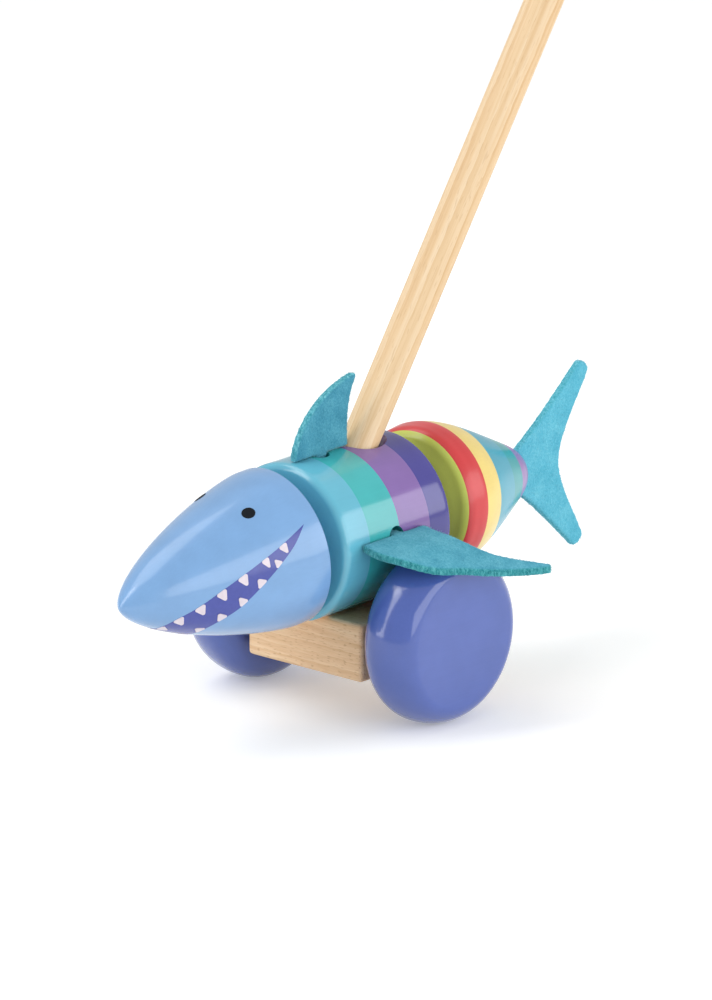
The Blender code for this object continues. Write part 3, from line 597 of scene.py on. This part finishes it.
def makeMouth():
    look = faceLook
    first, last = look["upperLip"][0][0], 360 - look["upperLip"][0][0]
    steps, columns = look["mouthRows"], look["mouthColumns"]
    rows = []
    for k in range(steps + 1):
        turn = first + (last - first) * k / steps
        folded = turn if turn <= 180 else 360 - turn
        front, back = smoothTable(look["upperLip"], folded), smoothTable(look["lowerLip"], folded)
        back = max(back, front + look["narrowest"]) if 0 < k < steps else front
        rows.append([(front + (back - front) * n / columns, turn) for n in range(columns + 1)])
    finished("mouthPrint", filmForm(rows, look["mouthLift"]), [finishes["mouthInk"]],
             "head_body")


def makeEyes():
    look = faceLook
    s0, turn0 = look["eye"]
    rings, around = look["eyeRings"], look["eyeSpots"]
    for side, sign in (("Left", 1), ("Right", -1)):
        rows = []
        for k in range(rings + 1):
            long, wide = look["eyeLong"] * k / rings, degrees(look["eyeWide"] * k / rings / headRadius(s0))
            spots = [2 * pi * n / around for n in range(around + 1)]
            rows.append([(s0 + long * cos(a), sign * (turn0 + wide * sin(a))) for a in spots])
        finished(f"eyePrint{side}", filmForm(rows, look["eyeLift"], True), [finishes["eyeInk"]],
                 "head_body")


def newGroup(name, **sockets):
    tree = bpy.data.node_groups.new(name, "GeometryNodeTree")
    tree.interface.new_socket("Geometry", in_out="INPUT", socket_type="NodeSocketGeometry")
    tree.interface.new_socket("Geometry", in_out="OUTPUT", socket_type="NodeSocketGeometry")
    for kind, labels in sockets.items():
        for label in labels:
            tree.interface.new_socket(label, in_out="INPUT", socket_type=f"NodeSocket{kind}")
    add = partial(addNode, tree)
    return tree, add, add("NodeGroupInput").outputs


def groupEnd(add, instances, finish):
    # Instances become plain mesh in one material, and leave the group
    real = add("GeometryNodeRealizeInstances", {"Geometry": instances})
    named = add("GeometryNodeSetMaterial", {"Geometry": real, "Material": finish})
    add("NodeGroupOutput", {"Geometry": named})


def grown(source, tree, values):
    # Runs a node tree on an object and gives back the plain mesh; the object is removed
    change = source.modifiers.new("grow", "NODES")
    change.node_group = tree
    keys = {item.name: item.identifier for item in tree.interface.items_tree if item.in_out == "INPUT"}
    for label, value in values.items():
        change[keys[label]] = value
    mesh = evaluated(source)
    bpy.data.objects.remove(source)
    return mesh


def pieceOf(name, mesh, body):
    mesh.name = name
    return ridden(shown(name, mesh), body)


def toothTree():
    # A rounded flat tooth on each point of the lips, turned and sized as the point's own attributes say
    tree, add, given = newGroup("teeth on the lips", Float=("Width", "Height", "Corner", "Thickness"),
                                Material=("Finish",))
    # The triangle in a circle of radius 1 is 2 cos 30 wide and 1.5 high, with a third of that below 0
    triangle = add("GeometryNodeCurvePrimitiveCircle", {"Resolution": 3, "Radius": 1.0}, mode="RADIUS")
    upright = add("GeometryNodeTransform", {"Geometry": triangle, "Rotation": (0, 0, pi / 2)})
    wide = add("Math", {0: given["Width"], 1: 2 * cos(pi / 6)}, operation="DIVIDE")
    tall = add("Math", {0: given["Height"], 1: 1.5}, operation="DIVIDE")
    rise = add("Math", {0: given["Height"], 1: 3.0}, operation="DIVIDE")
    size = add("CombineXYZ", {"X": wide, "Y": tall, "Z": 1.0})
    shift = add("CombineXYZ", {"Y": rise})
    sized = add("GeometryNodeTransform", {"Geometry": upright, "Scale": size, "Translation": shift})
    eased = add("GeometryNodeFilletCurve", {"Curve": sized, "Count": 6, "Radius": given["Corner"]},
                mode="POLY")
    flat = add("GeometryNodeFillCurve", {"Curve": eased})
    raised = add("GeometryNodeExtrudeMesh",
                 {"Mesh": flat, "Offset Scale": given["Thickness"], "Individual": False}, mode="FACES")
    under = add("GeometryNodeFlipFaces", {"Mesh": flat})
    joined = add("GeometryNodeJoinGeometry", {0: raised})
    feed(joined, {0: under})
    closed = add("GeometryNodeMergeByDistance", {"Geometry": joined, "Distance": 0.002 * mm})
    facing, share = [add("GeometryNodeInputNamedAttribute", {"Name": label}, data_type="FLOAT_VECTOR")
                     for label in ("facing", "size")]
    turn = add("FunctionNodeEulerToRotation", {0: facing})
    teeth = add("GeometryNodeInstanceOnPoints",
                {"Points": given["Geometry"], "Instance": closed, "Rotation": turn, "Scale": share})
    groupEnd(add, teeth, given["Finish"])
    return tree


def makeTeeth():
    look = faceLook
    spots, facings, sizes = [], [], []
    for lip, other, teeth in (("upperLip", "lowerLip", "upperTeeth"),
                              ("lowerLip", "upperLip", "lowerTeeth")):
        for turn, wide, tall in look[teeth]:
            for sign in (1, -1):
                s = smoothTable(look[lip], turn)
                here = onHead(s, sign * turn)
                ahead = onHead(smoothTable(look[lip], turn + 1), sign * (turn + 1))
                lift = (onHead(s, sign * turn, 1) - here).normalized()
                slope = onHead(s + 0.5, sign * turn) - onHead(s - 0.5, sign * turn)
                along = (ahead - here).normalized()
                up = slope.cross(onHead(s, sign * turn + 1) - here).normalized()
                up = up if up.dot(lift) > 0 else -up
                inward = up.cross(along).normalized()
                middle = onHead(smoothTable(look[other], turn), sign * turn) - here
                inward = inward if inward.dot(middle) > 0 else -inward
                along = inward.cross(up)
                spots.append((here - up * look["toothSunk"]) * mm)
                facings.append(Matrix((along, inward, up)).transposed().to_euler())
                sizes.append((wide, tall, 1))
    mesh = bpy.data.meshes.new("lips")
    mesh.from_pydata(spots, [], [])
    for label, values in (("facing", facings), ("size", sizes)):
        layer = mesh.attributes.new(label, "FLOAT_VECTOR", "POINT")
        for k, value in enumerate(values):
            layer.data[k].vector = value
    made = grown(shown("lips", mesh), toothTree(), {
        "Width": look["toothWidth"] * mm, "Height": look["toothHeight"] * mm,
        "Corner": look["toothRound"] * mm, "Thickness": look["toothThick"] * mm,
        "Finish": finishes["toothInk"]})
    pieceOf("toothPrint", made, "head_body")


makeHead()
makeMouth()
makeEyes()
makeTeeth()
print("head, mouth, eyes and teeth made")


# Middle drum

drumLook = {
    "radius": 21.6, "front": 25.5, "rear": 16.0, "frontRound": 2.0, "rearRound": 0.6, "flat": 16.3,
    "lines": (-16.0, -4.1, 7.8),
    "mortise": (6.3, 3.3, 12.3),     # half width, half height and depth
    "finHole": (2.9, 6.0), "dorsalAt": -12.2, "sideAt": (-5.5, 38.0),
    "stickHole": (5.3, 20.3),        # radius and depth
    "stickMouth": (6.0, 8.0, 0.7),   # radius and depth of its wider mouth, and how far back that sits
    "screws": (-11.0, 11.0), "pilot": (2.05, 28.7),
    "segments": 168,
}


def makeDrum():
    look = drumLook
    front, rear, radius = -look["front"], look["rear"], look["radius"]
    ease = look["frontRound"]
    profile = [(front, 0)] + arc((front + ease, radius - ease), ease, pi, pi / 2, 8)
    profile += [(line, radius) for line in look["lines"]]
    ease = look["rearRound"]
    profile += arc((rear - ease, radius - ease), ease, pi / 2, 0, 4) + [(rear, 0)]
    form = turned(densified(profile, longest), look["segments"], look["lines"], first=1)
    form = placed(form, at(z=drumAxis))
    side = radius + overshoot
    cutters = [boxForm((-side, front - overshoot, -side), (side, rear + overshoot, look["flat"]))]
    wide, high, deep = look["mortise"]
    for near, far in ((front - overshoot, front + deep), (rear - deep, rear + overshoot)):
        cutters.append(boxForm((-wide, near, drumAxis - high), (wide, far, drumAxis + high)))
    # Paint runs into the fins' holes and the stick's mouth
    hole, sunk = look["finHole"]
    top = drumAxis + radius
    y, z = look["sideAt"]
    for place in (at(0, look["dorsalAt"], top, 90), at(radius, y, z, -90, "Z"), at(-radius, y, z, 90, "Z")):
        cutters.append(placed(rodForm(-sunk, overshoot, hole, finish=2), place))
    snug, depth = look["stickHole"]
    tilt = at(0, stickBack, top, 90 - stickLean)
    cutters.append(placed(rodForm(-depth, radius, snug), tilt))
    wider, mouthDeep, slack = look["stickMouth"]
    lean = radians(stickLean)
    aside = at(0, slack * cos(lean), -slack * sin(lean))
    cutters.append(placed(rodForm(-mouthDeep, radius, wider, finish=3), aside @ tilt))
    pilot, pilotTop = look["pilot"]
    for y in look["screws"]:
        cutters.append(placed(rodForm(0, pilotTop, pilot, segments=24), at(0, y, 0, 90)))
    paints = [finishes[key] for key in ("beechAlong", "lightBlue", "teal", "purple", "violet")]
    finished("drumShell", carved(form, cutters, paints), paints, "chassis", ["body_drum"])


makeDrum()
print("drum made")


# Tail

tailLook = {
    "radius": 20.4, "front": 5.1, "crown": 3.0, "edge": 3.6, "rimDrop": 0.4, "widest": 1.5, "taper": 31.5,
    "tipRadius": 9.1, "tip": 8.6, "swing": 15, "pinFoot": 24.4, "lines": (-3.9, 2.6, 11.0, 23.4, 31.1),
    "taperShares": ((0.24, 0.05), (0.56, 0.48)), "tipShares": ((0.41, 0.84), (1.0, 0.55)),
    "finHole": (2.9, 6.0), "segments": 160, "crownSteps": 12,
}


def tipCurve(start, steps):
    # The tail's rounded end, as (along, out) points
    look = tailLook
    handles = stretched(look["tipShares"], look["tip"], look["tipRadius"], (start, 0))
    return bezier((start, look["tipRadius"]), *handles, (start + look["tip"], 0), steps)


def makeTail():
    look = tailLook
    radius, front, start = look["radius"], look["front"], look["widest"] + look["taper"]
    inner = radius - look["rimDrop"] - look["edge"]
    steps = look["crownSteps"]
    profile = [(-front - look["crown"] * (1 - (k / steps) ** 2), inner * k / steps) for k in range(steps)]
    profile += arc((look["edge"] - front, inner), look["edge"], pi, pi / 2, 10)
    fall = radius - look["tipRadius"]
    handles = [(look["widest"] + a * look["taper"], radius - b * fall) for a, b in look["taperShares"]]
    profile += bezier((look["widest"], radius), *handles, (start, look["tipRadius"]), 22)
    profile += tipCurve(start, 14)[1:]
    lines = look["lines"]
    form = turned(densified(profile, longest, lines[1:]), look["segments"], lines, first=1)
    end = start + look["tip"]
    hole, sunk = look["finHole"]
    cutters = slotCutters(tailFrame, -front - look["crown"], look["swing"], look["pinFoot"])
    cutters.append(placed(rodForm(end - sunk, end + overshoot, hole), tailLean))
    paints = [finishes[key] for key in ("beechAlong", "tailGreen", "tailRed", "tailYellow", "tailBlue",
                                        "tailTeal", "tailPurple")]
    form = carved(placed(form, tailLean), cutters, paints)
    finished("tailShell", form, paints, "tail_body", ["tail"])


makeTail()
print("tail made")


# Wheels, block and stick

wheelLook = {
    "radius": 24.2, "inner": 22.6, "width": 17.8, "shoulder": 10.1, "shoulderDrop": 6.0, "innerRound": 7.5,
    "bore": 2.3, "boreDepth": 14.0, "segments": 144, "faceSteps": 8,
}


def makeWheels():
    look = wheelLook
    radius, out, ease = look["radius"], look["width"], look["innerRound"]
    wide, drop = look["shoulder"], look["shoulderDrop"]
    face = radius - drop
    profile = [(look["boreDepth"], 0), (look["boreDepth"], look["bore"]), (0, look["bore"])]
    profile += arc((ease, radius - ease), ease, pi, pi / 2, 12)
    profile += stretched(arc((0, 0), 1, pi / 2, 0, 18), wide, drop, (out - wide, face))
    steps = look["faceSteps"]
    profile += [(out, face * k / steps) for k in range(steps - 1, -1, -1)]
    for side, sign in (("Left", 1), ("Right", -1)):
        place = at(sign * look["inner"], 0, axleHeight, -sign * 90, "Z")
        form = placed(turned(profile, look["segments"]), place)
        finished(f"wheelDisc{side}", form, [finishes["wheelBlue"]], "wheelset",
                 [f"wheel_{side.lower()}"])


blockLook = {
    "low": (-20, -18, 0), "high": (20, 18, 16), "edge": 1.2, "bore": 2.4,
    "sinkWide": 3.9, "sinkTop": 2.7, "sinkLow": 0.7, "shank": 2.05,
}


def makeBlock():
    look = blockLook
    form = boxForm(look["low"], look["high"])
    bmesh.ops.bevel(form, geom=form.edges, offset=look["edge"], segments=5, profile=0.5, affect="EDGES")
    past = look["high"][0] + overshoot
    cutters = [placed(rodForm(-past, past, look["bore"]), at(0, 0, axleHeight, 90, "Z"))]
    top = look["high"][2] + overshoot
    sink = [(-overshoot, 0), (-overshoot, look["sinkWide"]), (look["sinkLow"], look["sinkWide"]),
            (look["sinkTop"], look["shank"]), (top, look["shank"]), (top, 0)]
    cutters += [placed(turned(sink, 40), at(0, y, 0, 90)) for y in drumLook["screws"]]
    form = carved(form, cutters, [finishes["beech"]])
    finished("blockBody", form, [finishes["beech"]], "chassis", ["chassis_block"],
             sharp=32, weighted=True)


stickLook = {"radius": 5.0, "foot": -20.0, "top": 470.0, "topRound": 3.0, "footRound": 0.6,
             "longest": 8.0, "segments": 96}


def makeStick():
    look = stickLook
    foot, top, radius = look["foot"], look["top"], look["radius"]
    ease = look["footRound"]
    profile = [(foot, 0)] + arc((foot + ease, radius - ease), ease, pi, pi / 2, 3)
    ease = look["topRound"]
    profile += arc((top - ease, radius - ease), ease, pi / 2, 0, 8) + [(top, 0)]
    form = turned(densified(profile, look["longest"]), look["segments"])
    form = placed(form, at(0, stickBack, drumAxis + drumLook["radius"], 90 - stickLean))
    finished("stickDowel", form, [finishes["dowel"]], "chassis", ["push_stick"])


makeWheels()
makeBlock()
makeStick()
print("wheels, block and stick made")


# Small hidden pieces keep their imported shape

for finish, keys in (("beechAlong", ("head_tongue", "tail_tongue")),
                     ("beechUpright", ("head_pivot_pin", "tail_pivot_pin")),
                     ("steel", ("axle", "chassis_screw_front", "chassis_screw_rear")),
                     ("nylon", ("axle_washer_left", "axle_washer_right"))):
    for key in keys:
        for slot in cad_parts[key].material_slots:
            slot.material = finishes[finish]


# Felt fins. Their outlines are curves whose handles are shares of the fin's own sizes

finLook = {
    "thick": 2.4, "tab": (4.0, 5.0), "voxel": 0.42, "soften": 6, "edgeFrom": 0.86, "edgeBlend": 0.3,
    "fluff": 0.10, "edgeFluff": 0.16, "tufts": 1.1, "fineTufts": 2.3, "fineShare": 0.6, "faceShare": 1.4,
    "dorsal": {"chord": 20.8, "height": 19.2, "front": 22.6, "tip": 1.24,
               "lead": ((0.034, 0.396), (0.361, 0.865)), "trail": ((0.87, 0.68), (0.865, 0.36)),
               "ease": ((0.985, 1.0), (1.02, 0.985), (1.015, 0.945))},
    "side": {"chord": 24.4, "span": 31.9, "front": 19.4, "height": 38.0, "tabAt": 13.9, "level": 9.5,
             "bend": 11.0, "sag": 26.5, "twist": 4.6, "twistShares": (0.14, 0.59),
             "lead": ((0, 0), (0.524, -0.272), (0.837, 0.487), (1.0, 1.582)),
             "trail": ((0, 1.0), (0.636, 0.709), (0.739, 1.074), (0.972, 1.635))},
    "tail": {"root": 5.4, "reach": 70.2, "notch": 58.5, "half": 25.4, "lead": ((0.25, 0.20), (0.62, 0.67)),
             "ease": ((0.88, 1.0), (0.95, 0.985), (1.0, 0.90)), "trail": ((0.73, 0.65), (0.02, 0.29))},
}
tabHalf, tabDeep = finLook["tab"][0] / 2, finLook["tab"][1]


def dorsalOutline():
    look = finLook["dorsal"]
    height, chord, tip = look["height"], look["chord"], look["tip"] * look["height"]
    ease = stretched(look["ease"], tip, height)
    lead = bezier((0, 0), *stretched(look["lead"], tip, height), ease[0], 24)
    trail = bezier(ease[2], *stretched(look["trail"], tip, height), (chord, 0), 24)
    right, left = chord / 2 + tabHalf, chord / 2 - tabHalf
    return lead + [ease[1]] + trail + [(right, 0), (right, -tabDeep), (left, -tabDeep), (left, 0)]


def sideOutline():
    # As (out, back) points
    look = finLook["side"]
    lead, trail = [bezier(*stretched(look[key], look["span"], look["chord"]), 28)
                   for key in ("lead", "trail")]
    back, front = look["tabAt"] + tabHalf, look["tabAt"] - tabHalf
    return lead + trail[::-1] + [(0, back), (-tabDeep, back), (-tabDeep, front), (0, front)]


def sideSag(out, back):
    # How far the side fin hangs below level there: level at first, then bent down, its lead edge lower
    look = finLook["side"]
    over = min(max(out - look["level"], 0), look["bend"])
    past = max(out - look["level"] - look["bend"], 0)
    first, last = look["twistShares"]
    share = min(max((last - back / look["chord"]) / (last - first), 0), 1)
    lead = share * share * (3 - 2 * share)
    return (tan(radians(look["sag"])) * (over * over / look["bend"] / 2 + past)
            + tan(radians(look["twist"])) * lead * max(out, 0))


def tailOutline():
    look, body = finLook["tail"], tailLook
    start = body["widest"] + body["taper"]
    end, gap = start + body["tip"], touchGap + runningGap
    seat = [(a + gap, b) for a, b in tipCurve(start, 40) if tabHalf < b < look["root"]]
    root = (seat[0][0] - touchGap, look["root"])
    reach, rise = look["reach"] - root[0], look["half"] - root[1]
    ease = stretched(look["ease"], reach, look["half"], (root[0], 0))
    lead = bezier(root, *stretched(look["lead"], reach, rise, root), ease[0], 24)
    fork = look["reach"] - look["notch"]
    handles = stretched(look["trail"], fork, look["half"], (look["notch"], 0))
    trail = bezier(ease[2], *handles, (look["notch"], 0), 24)
    tab = [(end - tabDeep, tabHalf), (end + gap, tabHalf)]
    upper = tab + seat[::-1] + lead + [ease[1]] + trail
    return upper + [(a, -b) for a, b in upper[-2::-1]]


def feltForm(outline):
    # A shape cut from the felt: the outline's plate, rounded and softened, its thickness along local Z
    thick = finLook["thick"]
    form = bmesh.new()
    points = []
    for a, b in outline:
        if not points or hypot(a - points[-1][0], b - points[-1][1]) > 0.02:
            points.append((a, b))
    face = form.faces.new([form.verts.new((a, b, -thick / 2)) for a, b in points])
    raised = bmesh.ops.extrude_face_region(form, geom=[face])["geom"]
    top = [part for part in raised if isinstance(part, bmesh.types.BMVert)]
    bmesh.ops.translate(form, verts=top, vec=(0, 0, thick))
    bmesh.ops.triangulate(form, faces=[f for f in form.faces if len(f.verts) > 4])
    bmesh.ops.recalc_face_normals(form, faces=form.faces)
    plate = shown("work", meshOf("work", form))
    remesh = plate.modifiers.new("even mesh", "REMESH")
    remesh.mode = "VOXEL"
    remesh.voxel_size = finLook["voxel"]
    smooth = plate.modifiers.new("soften", "SMOOTH")
    smooth.iterations = finLook["soften"]
    smooth.factor = 0.5
    return resultOf(plate)


def markEdge(form):
    # Notes how much of the cut edge each point belongs to, before the shape is bent and placed
    start, blend = finLook["edgeFrom"], finLook["edgeBlend"]
    layer = form.verts.layers.float.new("cutEdge")
    form.normal_update()
    for vert in form.verts:
        vert[layer] = min(1, max(0, (start - abs(vert.normal.z)) / blend))


def fluffed(form, seed):
    # Pushes the felt's surface about by a fine noise, more on its cut edge
    look = finLook
    more = look["edgeFluff"] - look["fluff"]
    form.normal_update()
    for vert in form.verts:
        edge = 1 - min(1, abs(vert.normal.z) * look["faceShare"])
        spot = vert.co * look["tufts"] + Vector((seed, 0, 0))
        push = noise.noise(spot) + look["fineShare"] * noise.noise(spot * look["fineTufts"])
        vert.co += vert.normal * push * (look["fluff"] + more * edge)


def softFelt(outline, seed):
    form = feltForm(outline)
    markEdge(form)
    fluffed(form, seed)
    return form


def makeFins():
    top = drumAxis + drumLook["radius"] + touchGap
    standing = at(turn=90, axis="Z") @ at(turn=90)
    form = softFelt(dorsalOutline(), seed=3.0)
    form = placed(form, at(0, -finLook["dorsal"]["front"], top) @ standing)
    dorsal = finished("dorsalFelt", form, [finishes["backFelt"]], "chassis", ["dorsal_fin"],
                      sharp=180)
    side = finLook["side"]
    root = drumLook["radius"] + touchGap
    sides = []
    for label, sign in (("Left", 1), ("Right", -1)):
        form = softFelt(sideOutline(), seed=11.0 + sign)
        for vert in form.verts:
            vert.co.z -= sideSag(vert.co.x, vert.co.y)
            out, back, up = vert.co
            vert.co = (sign * (root + out), back - side["front"], up + side["height"])
        if sign < 0:
            bmesh.ops.reverse_faces(form, faces=form.faces)
        sides.append(finished(f"sideFelt{label}", form, [finishes["felt"]], "chassis",
                              [f"pectoral_fin_{label.lower()}"], sharp=180))
    form = placed(softFelt(tailOutline(), seed=23.0), tailLean @ standing)
    caudal = finished("tailFelt", form, [finishes["paleFelt"]], "tail_body", ["caudal_fin"],
                      sharp=180)
    return dorsal, sides, caudal


fibreLook = {
    "perEdge": 11.0, "perFace": 2.6,     # how many on a square millimetre
    "length": 0.62, "thick": 0.055, "tipShare": 0.12, "spread": 1.5, "bend": 0.35,
    "rise": 0.25,                        # least share of a fibre's aim that leaves the felt
    "sizes": (0.45, 1.15),
}


def fibreTree():
    # Loose fibres scattered over the felt, dense on its cut edge, each a thin bent three-sided spike
    look = fibreLook
    tree, add, given = newGroup(
        "loose fibres",
        Float=("Per edge", "Per face", "Length", "Thickness", "Spread", "Bend", "Lowest lean"),
        Int=("Seed",), Material=("Finish",))
    seed, length = given["Seed"], given["Length"]
    edge = add("GeometryNodeInputNamedAttribute", {"Name": "cutEdge"}, data_type="FLOAT")
    share = add("MapRange", {"Value": edge, "To Min": given["Per face"], "To Max": given["Per edge"]})
    normal = add("GeometryNodeInputNormal")
    height = add("SeparateXYZ", {0: normal}).outputs["Z"]
    upward = add("FunctionNodeCompare", {0: height, 1: given["Lowest lean"]}, data_type="FLOAT",
                 operation="GREATER_THAN")
    spots = add("GeometryNodeDistributePointsOnFaces",
                {"Mesh": given["Geometry"], "Selection": upward, "Density": share, "Seed": seed},
                distribute_method="RANDOM")
    out = spots.outputs["Normal"]
    stray = add("FunctionNodeRandomValue", {0: (-1, -1, -1), 1: (1, 1, 1), "Seed": seed},
                data_type="FLOAT_VECTOR")
    aside = add("VectorMath", {0: stray, "Scale": given["Spread"]}, operation="SCALE")
    aim = add("VectorMath", {0: aside, 1: out}, operation="ADD")
    dot = add("VectorMath", {0: aim, 1: out}, operation="DOT_PRODUCT")
    low = add("Math", {0: dot, 1: look["rise"]}, operation="MINIMUM")
    need = add("Math", {0: look["rise"], 1: low}, operation="SUBTRACT")
    lift = add("VectorMath", {0: out, "Scale": need}, operation="SCALE")
    aimed = add("VectorMath", {0: aim, 1: lift}, operation="ADD")
    turn = add("FunctionNodeAlignRotationToVector", {"Vector": aimed}, axis="Z")
    half, fine = [add("Math", {0: given["Thickness"], 1: v}, operation="MULTIPLY")
                  for v in (0.5, look["tipShare"])]
    spike = add("GeometryNodeMeshCone", {"Vertices": 3, "Side Segments": 2, "Fill Segments": 1,
                                         "Radius Top": fine, "Radius Bottom": half, "Depth": length},
                fill_type="NGON")
    place = add("GeometryNodeInputPosition")
    along = add("SeparateXYZ", {0: place}).outputs["Z"]
    square = add("Math", {0: along, 1: along}, operation="MULTIPLY")
    over = add("Math", {0: square, 1: length}, operation="DIVIDE")
    push = add("Math", {0: over, 1: given["Bend"]}, operation="MULTIPLY")
    shift = add("CombineXYZ", {"X": push})
    bent = add("GeometryNodeSetPosition", {"Geometry": spike, "Offset": shift})
    least, most = look["sizes"]
    size = add("FunctionNodeRandomValue", {2: least, 3: most, "Seed": seed}, data_type="FLOAT")
    hairs = add("GeometryNodeInstanceOnPoints",
                {"Points": spots, "Instance": bent, "Rotation": turn, "Scale": size})
    groupEnd(add, hairs, given["Finish"])
    return tree


def makeFibres(fin, name, body, tree, seed, lowest=-2.0, finish="fibres"):
    # Only where the surface faces up more than lowest says; -2 is everywhere
    look = fibreLook
    made = grown(shown("strand source", fin.data.copy()), tree, {
        "Per edge": look["perEdge"] / mm**2, "Per face": look["perFace"] / mm**2,
        "Length": look["length"] * mm, "Thickness": look["thick"] * mm, "Spread": look["spread"],
        "Bend": look["bend"], "Lowest lean": lowest, "Seed": seed, "Finish": finishes[finish]})
    return pieceOf(name, made, body)


dorsal, sides, caudal = makeFins()
tree = fibreTree()
dorsalFibres = makeFibres(dorsal, "dorsalFibres", "chassis", tree, seed=4)
sideFibres = [makeFibres(fin, f"sideFibres{label}", "chassis", tree, seed=7, lowest=-0.2)
              for fin, label in zip(sides, ("Left", "Right"))]
caudalFibres = makeFibres(caudal, "tailFibres", "tail_body", tree, seed=9, finish="paleFibres")
for fin, outline, loose, carrier in ((dorsal, dorsalOutline(), dorsalFibres, "drumShell"),
                                     (sides[0], sideOutline(), sideFibres[0], "drumShell"),
                                     (sides[1], sideOutline(), sideFibres[1], "drumShell"),
                                     (caudal, tailOutline(), caudalFibres, "tailShell")):
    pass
print("felt fins and their fibres made")


# Floor, lights and camera

studioLook = {
    "floor": "#F4F4F3", "floorHalf": 4.0, "floorLift": 0.25, "fade": (380.0, 850.0), "world": 0.61,
    "azimuth": 41.4, "elevation": 17.1, "distance": 7340.0, "lens": 1000.0, "sensor": 36.0, "reach": 40.0,
    # photo's pixels: a millimetre at the shark, the picture's middle, and where the body's axis crosses
    # the plane between head and tail
    "scale": 3.7835, "middle": (356, 500), "pixel": (349.34, 522.1),
    "lamps": {
        # direction from the shark as degrees round from straight ahead and degrees up, then distance,
        # size, and how bright the panel itself looks
        "leftStrip": {"turn": -30, "rise": 27, "away": 1000, "size": (340, 1050), "level": 2.8},
        "rightPanel": {"turn": 102, "rise": 16, "away": 1000, "size": (1750, 600), "level": 1.8},
        "topPanel": {"turn": -62, "rise": 62, "away": 1000, "size": (780, 520), "level": 1.6},
    },
}


def toward(turn, rise):
    # The direction turn degrees round from straight ahead and rise degrees up
    a, e = radians(turn), radians(rise)
    return Vector((sin(a) * cos(e), -cos(a) * cos(e), sin(e)))


def makeFloor():
    # Pale paper that fades into the white round it
    look = studioLook
    half, low = look["floorHalf"], (axleHeight - wheelLook["radius"]) * mm
    mesh = bpy.data.meshes.new("studioFloor")
    spots = [(-half, -half, low), (half, -half, low), (half, half, low), (-half, half, low)]
    mesh.from_pydata(spots, [], [(0, 1, 2, 3)])
    floor = shown("studioFloor", mesh)
    material, add, shader, spot = newMaterial(
        "matt studio paper", Roughness=0.9, Specular_IOR_Level=0.1, Base_Color=linear(look["floor"]),
        Emission_Color=(1, 1, 1, 1))
    ray = add("LightPath").outputs
    seen = add("Math", {0: ray["Is Camera Ray"], 1: ray["Is Glossy Ray"]}, operation="MAXIMUM")
    lift = add("Math", {0: seen, 1: look["floorLift"]}, operation="MULTIPLY")
    feed(shader, {"Emission Strength": lift})
    level = add("VectorMath", {0: spot, 1: (1, 1, 0)}, operation="MULTIPLY")
    away = add("VectorMath", {0: level}, operation="LENGTH")
    near, end = look["fade"]
    far = add("MapRange", {"Value": away, "From Min": near * mm, "From Max": end * mm},
              interpolation_type="SMOOTHSTEP")
    gone = add("Math", {0: far, 1: seen}, operation="MULTIPLY")
    clear = add("BsdfTransparent")
    mixed = add("MixShader", {0: gone, 1: shader, 2: clear})
    feed(material.node_tree.nodes["Material Output"], {"Surface": mixed})
    mesh.materials.append(material)


def makeStudio():
    look = studioLook
    world = bpy.data.worlds.new("studio")
    bpy.context.scene.world = world
    world.use_nodes = True
    tree = world.node_tree
    add = partial(addNode, tree)
    white = (1, 1, 1, 1)
    sky = tree.nodes["Background"]
    feed(sky, {"Color": white, "Strength": look["world"]})
    bright = add("Background", {"Color": white})
    ray = add("LightPath").outputs
    seen = add("Math", {0: ray["Is Camera Ray"], 1: ray["Is Transmission Ray"]}, operation="MAXIMUM")
    mix = add("MixShader", {0: seen, 1: sky, 2: bright})
    feed(tree.nodes["World Output"], {"Surface": mix})
    for name, lamp in look["lamps"].items():
        data = bpy.data.lights.new(name, "AREA")
        data.shape = "RECTANGLE"
        data.size, data.size_y = [v * mm for v in lamp["size"]]
        # 4 W on a square metre make a panel look just white
        data.energy = 4 * lamp["level"] * data.size * data.size_y
        made = shown(name, data)
        aim = toward(lamp["turn"], lamp["rise"])
        made.location = (Vector((0, 0, drumAxis)) + aim * lamp["away"]) * mm
        made.rotation_euler = (-aim).to_track_quat("-Z", "Y").to_euler()


def makeCamera():
    look = studioLook
    back = toward(look["azimuth"], look["elevation"])
    a = radians(look["azimuth"])
    right = Vector((cos(a), sin(a), 0))
    up = back.cross(right)
    data = bpy.data.cameras.new("photoCamera")
    data.lens, data.sensor_width, data.clip_end = look["lens"], look["sensor"], look["reach"]
    camera = shown("photoCamera", data)
    (x, y), (middleX, middleY) = look["pixel"], look["middle"]
    shift = right * (middleX - x) / look["scale"] + up * (y - middleY) / look["scale"]
    camera.location = (Vector((0, 0, drumAxis)) + shift + back * look["distance"]) * mm
    camera.rotation_euler = Matrix((right, up, back)).transposed().to_euler()
    bpy.context.scene.camera = camera


makeFloor()
makeStudio()
makeCamera()
bpy.context.scene.view_settings.view_transform = "Standard"
print("studio made")


def corners(box):
    return [[round(float(v), 6) for v in corner] for corner in box]
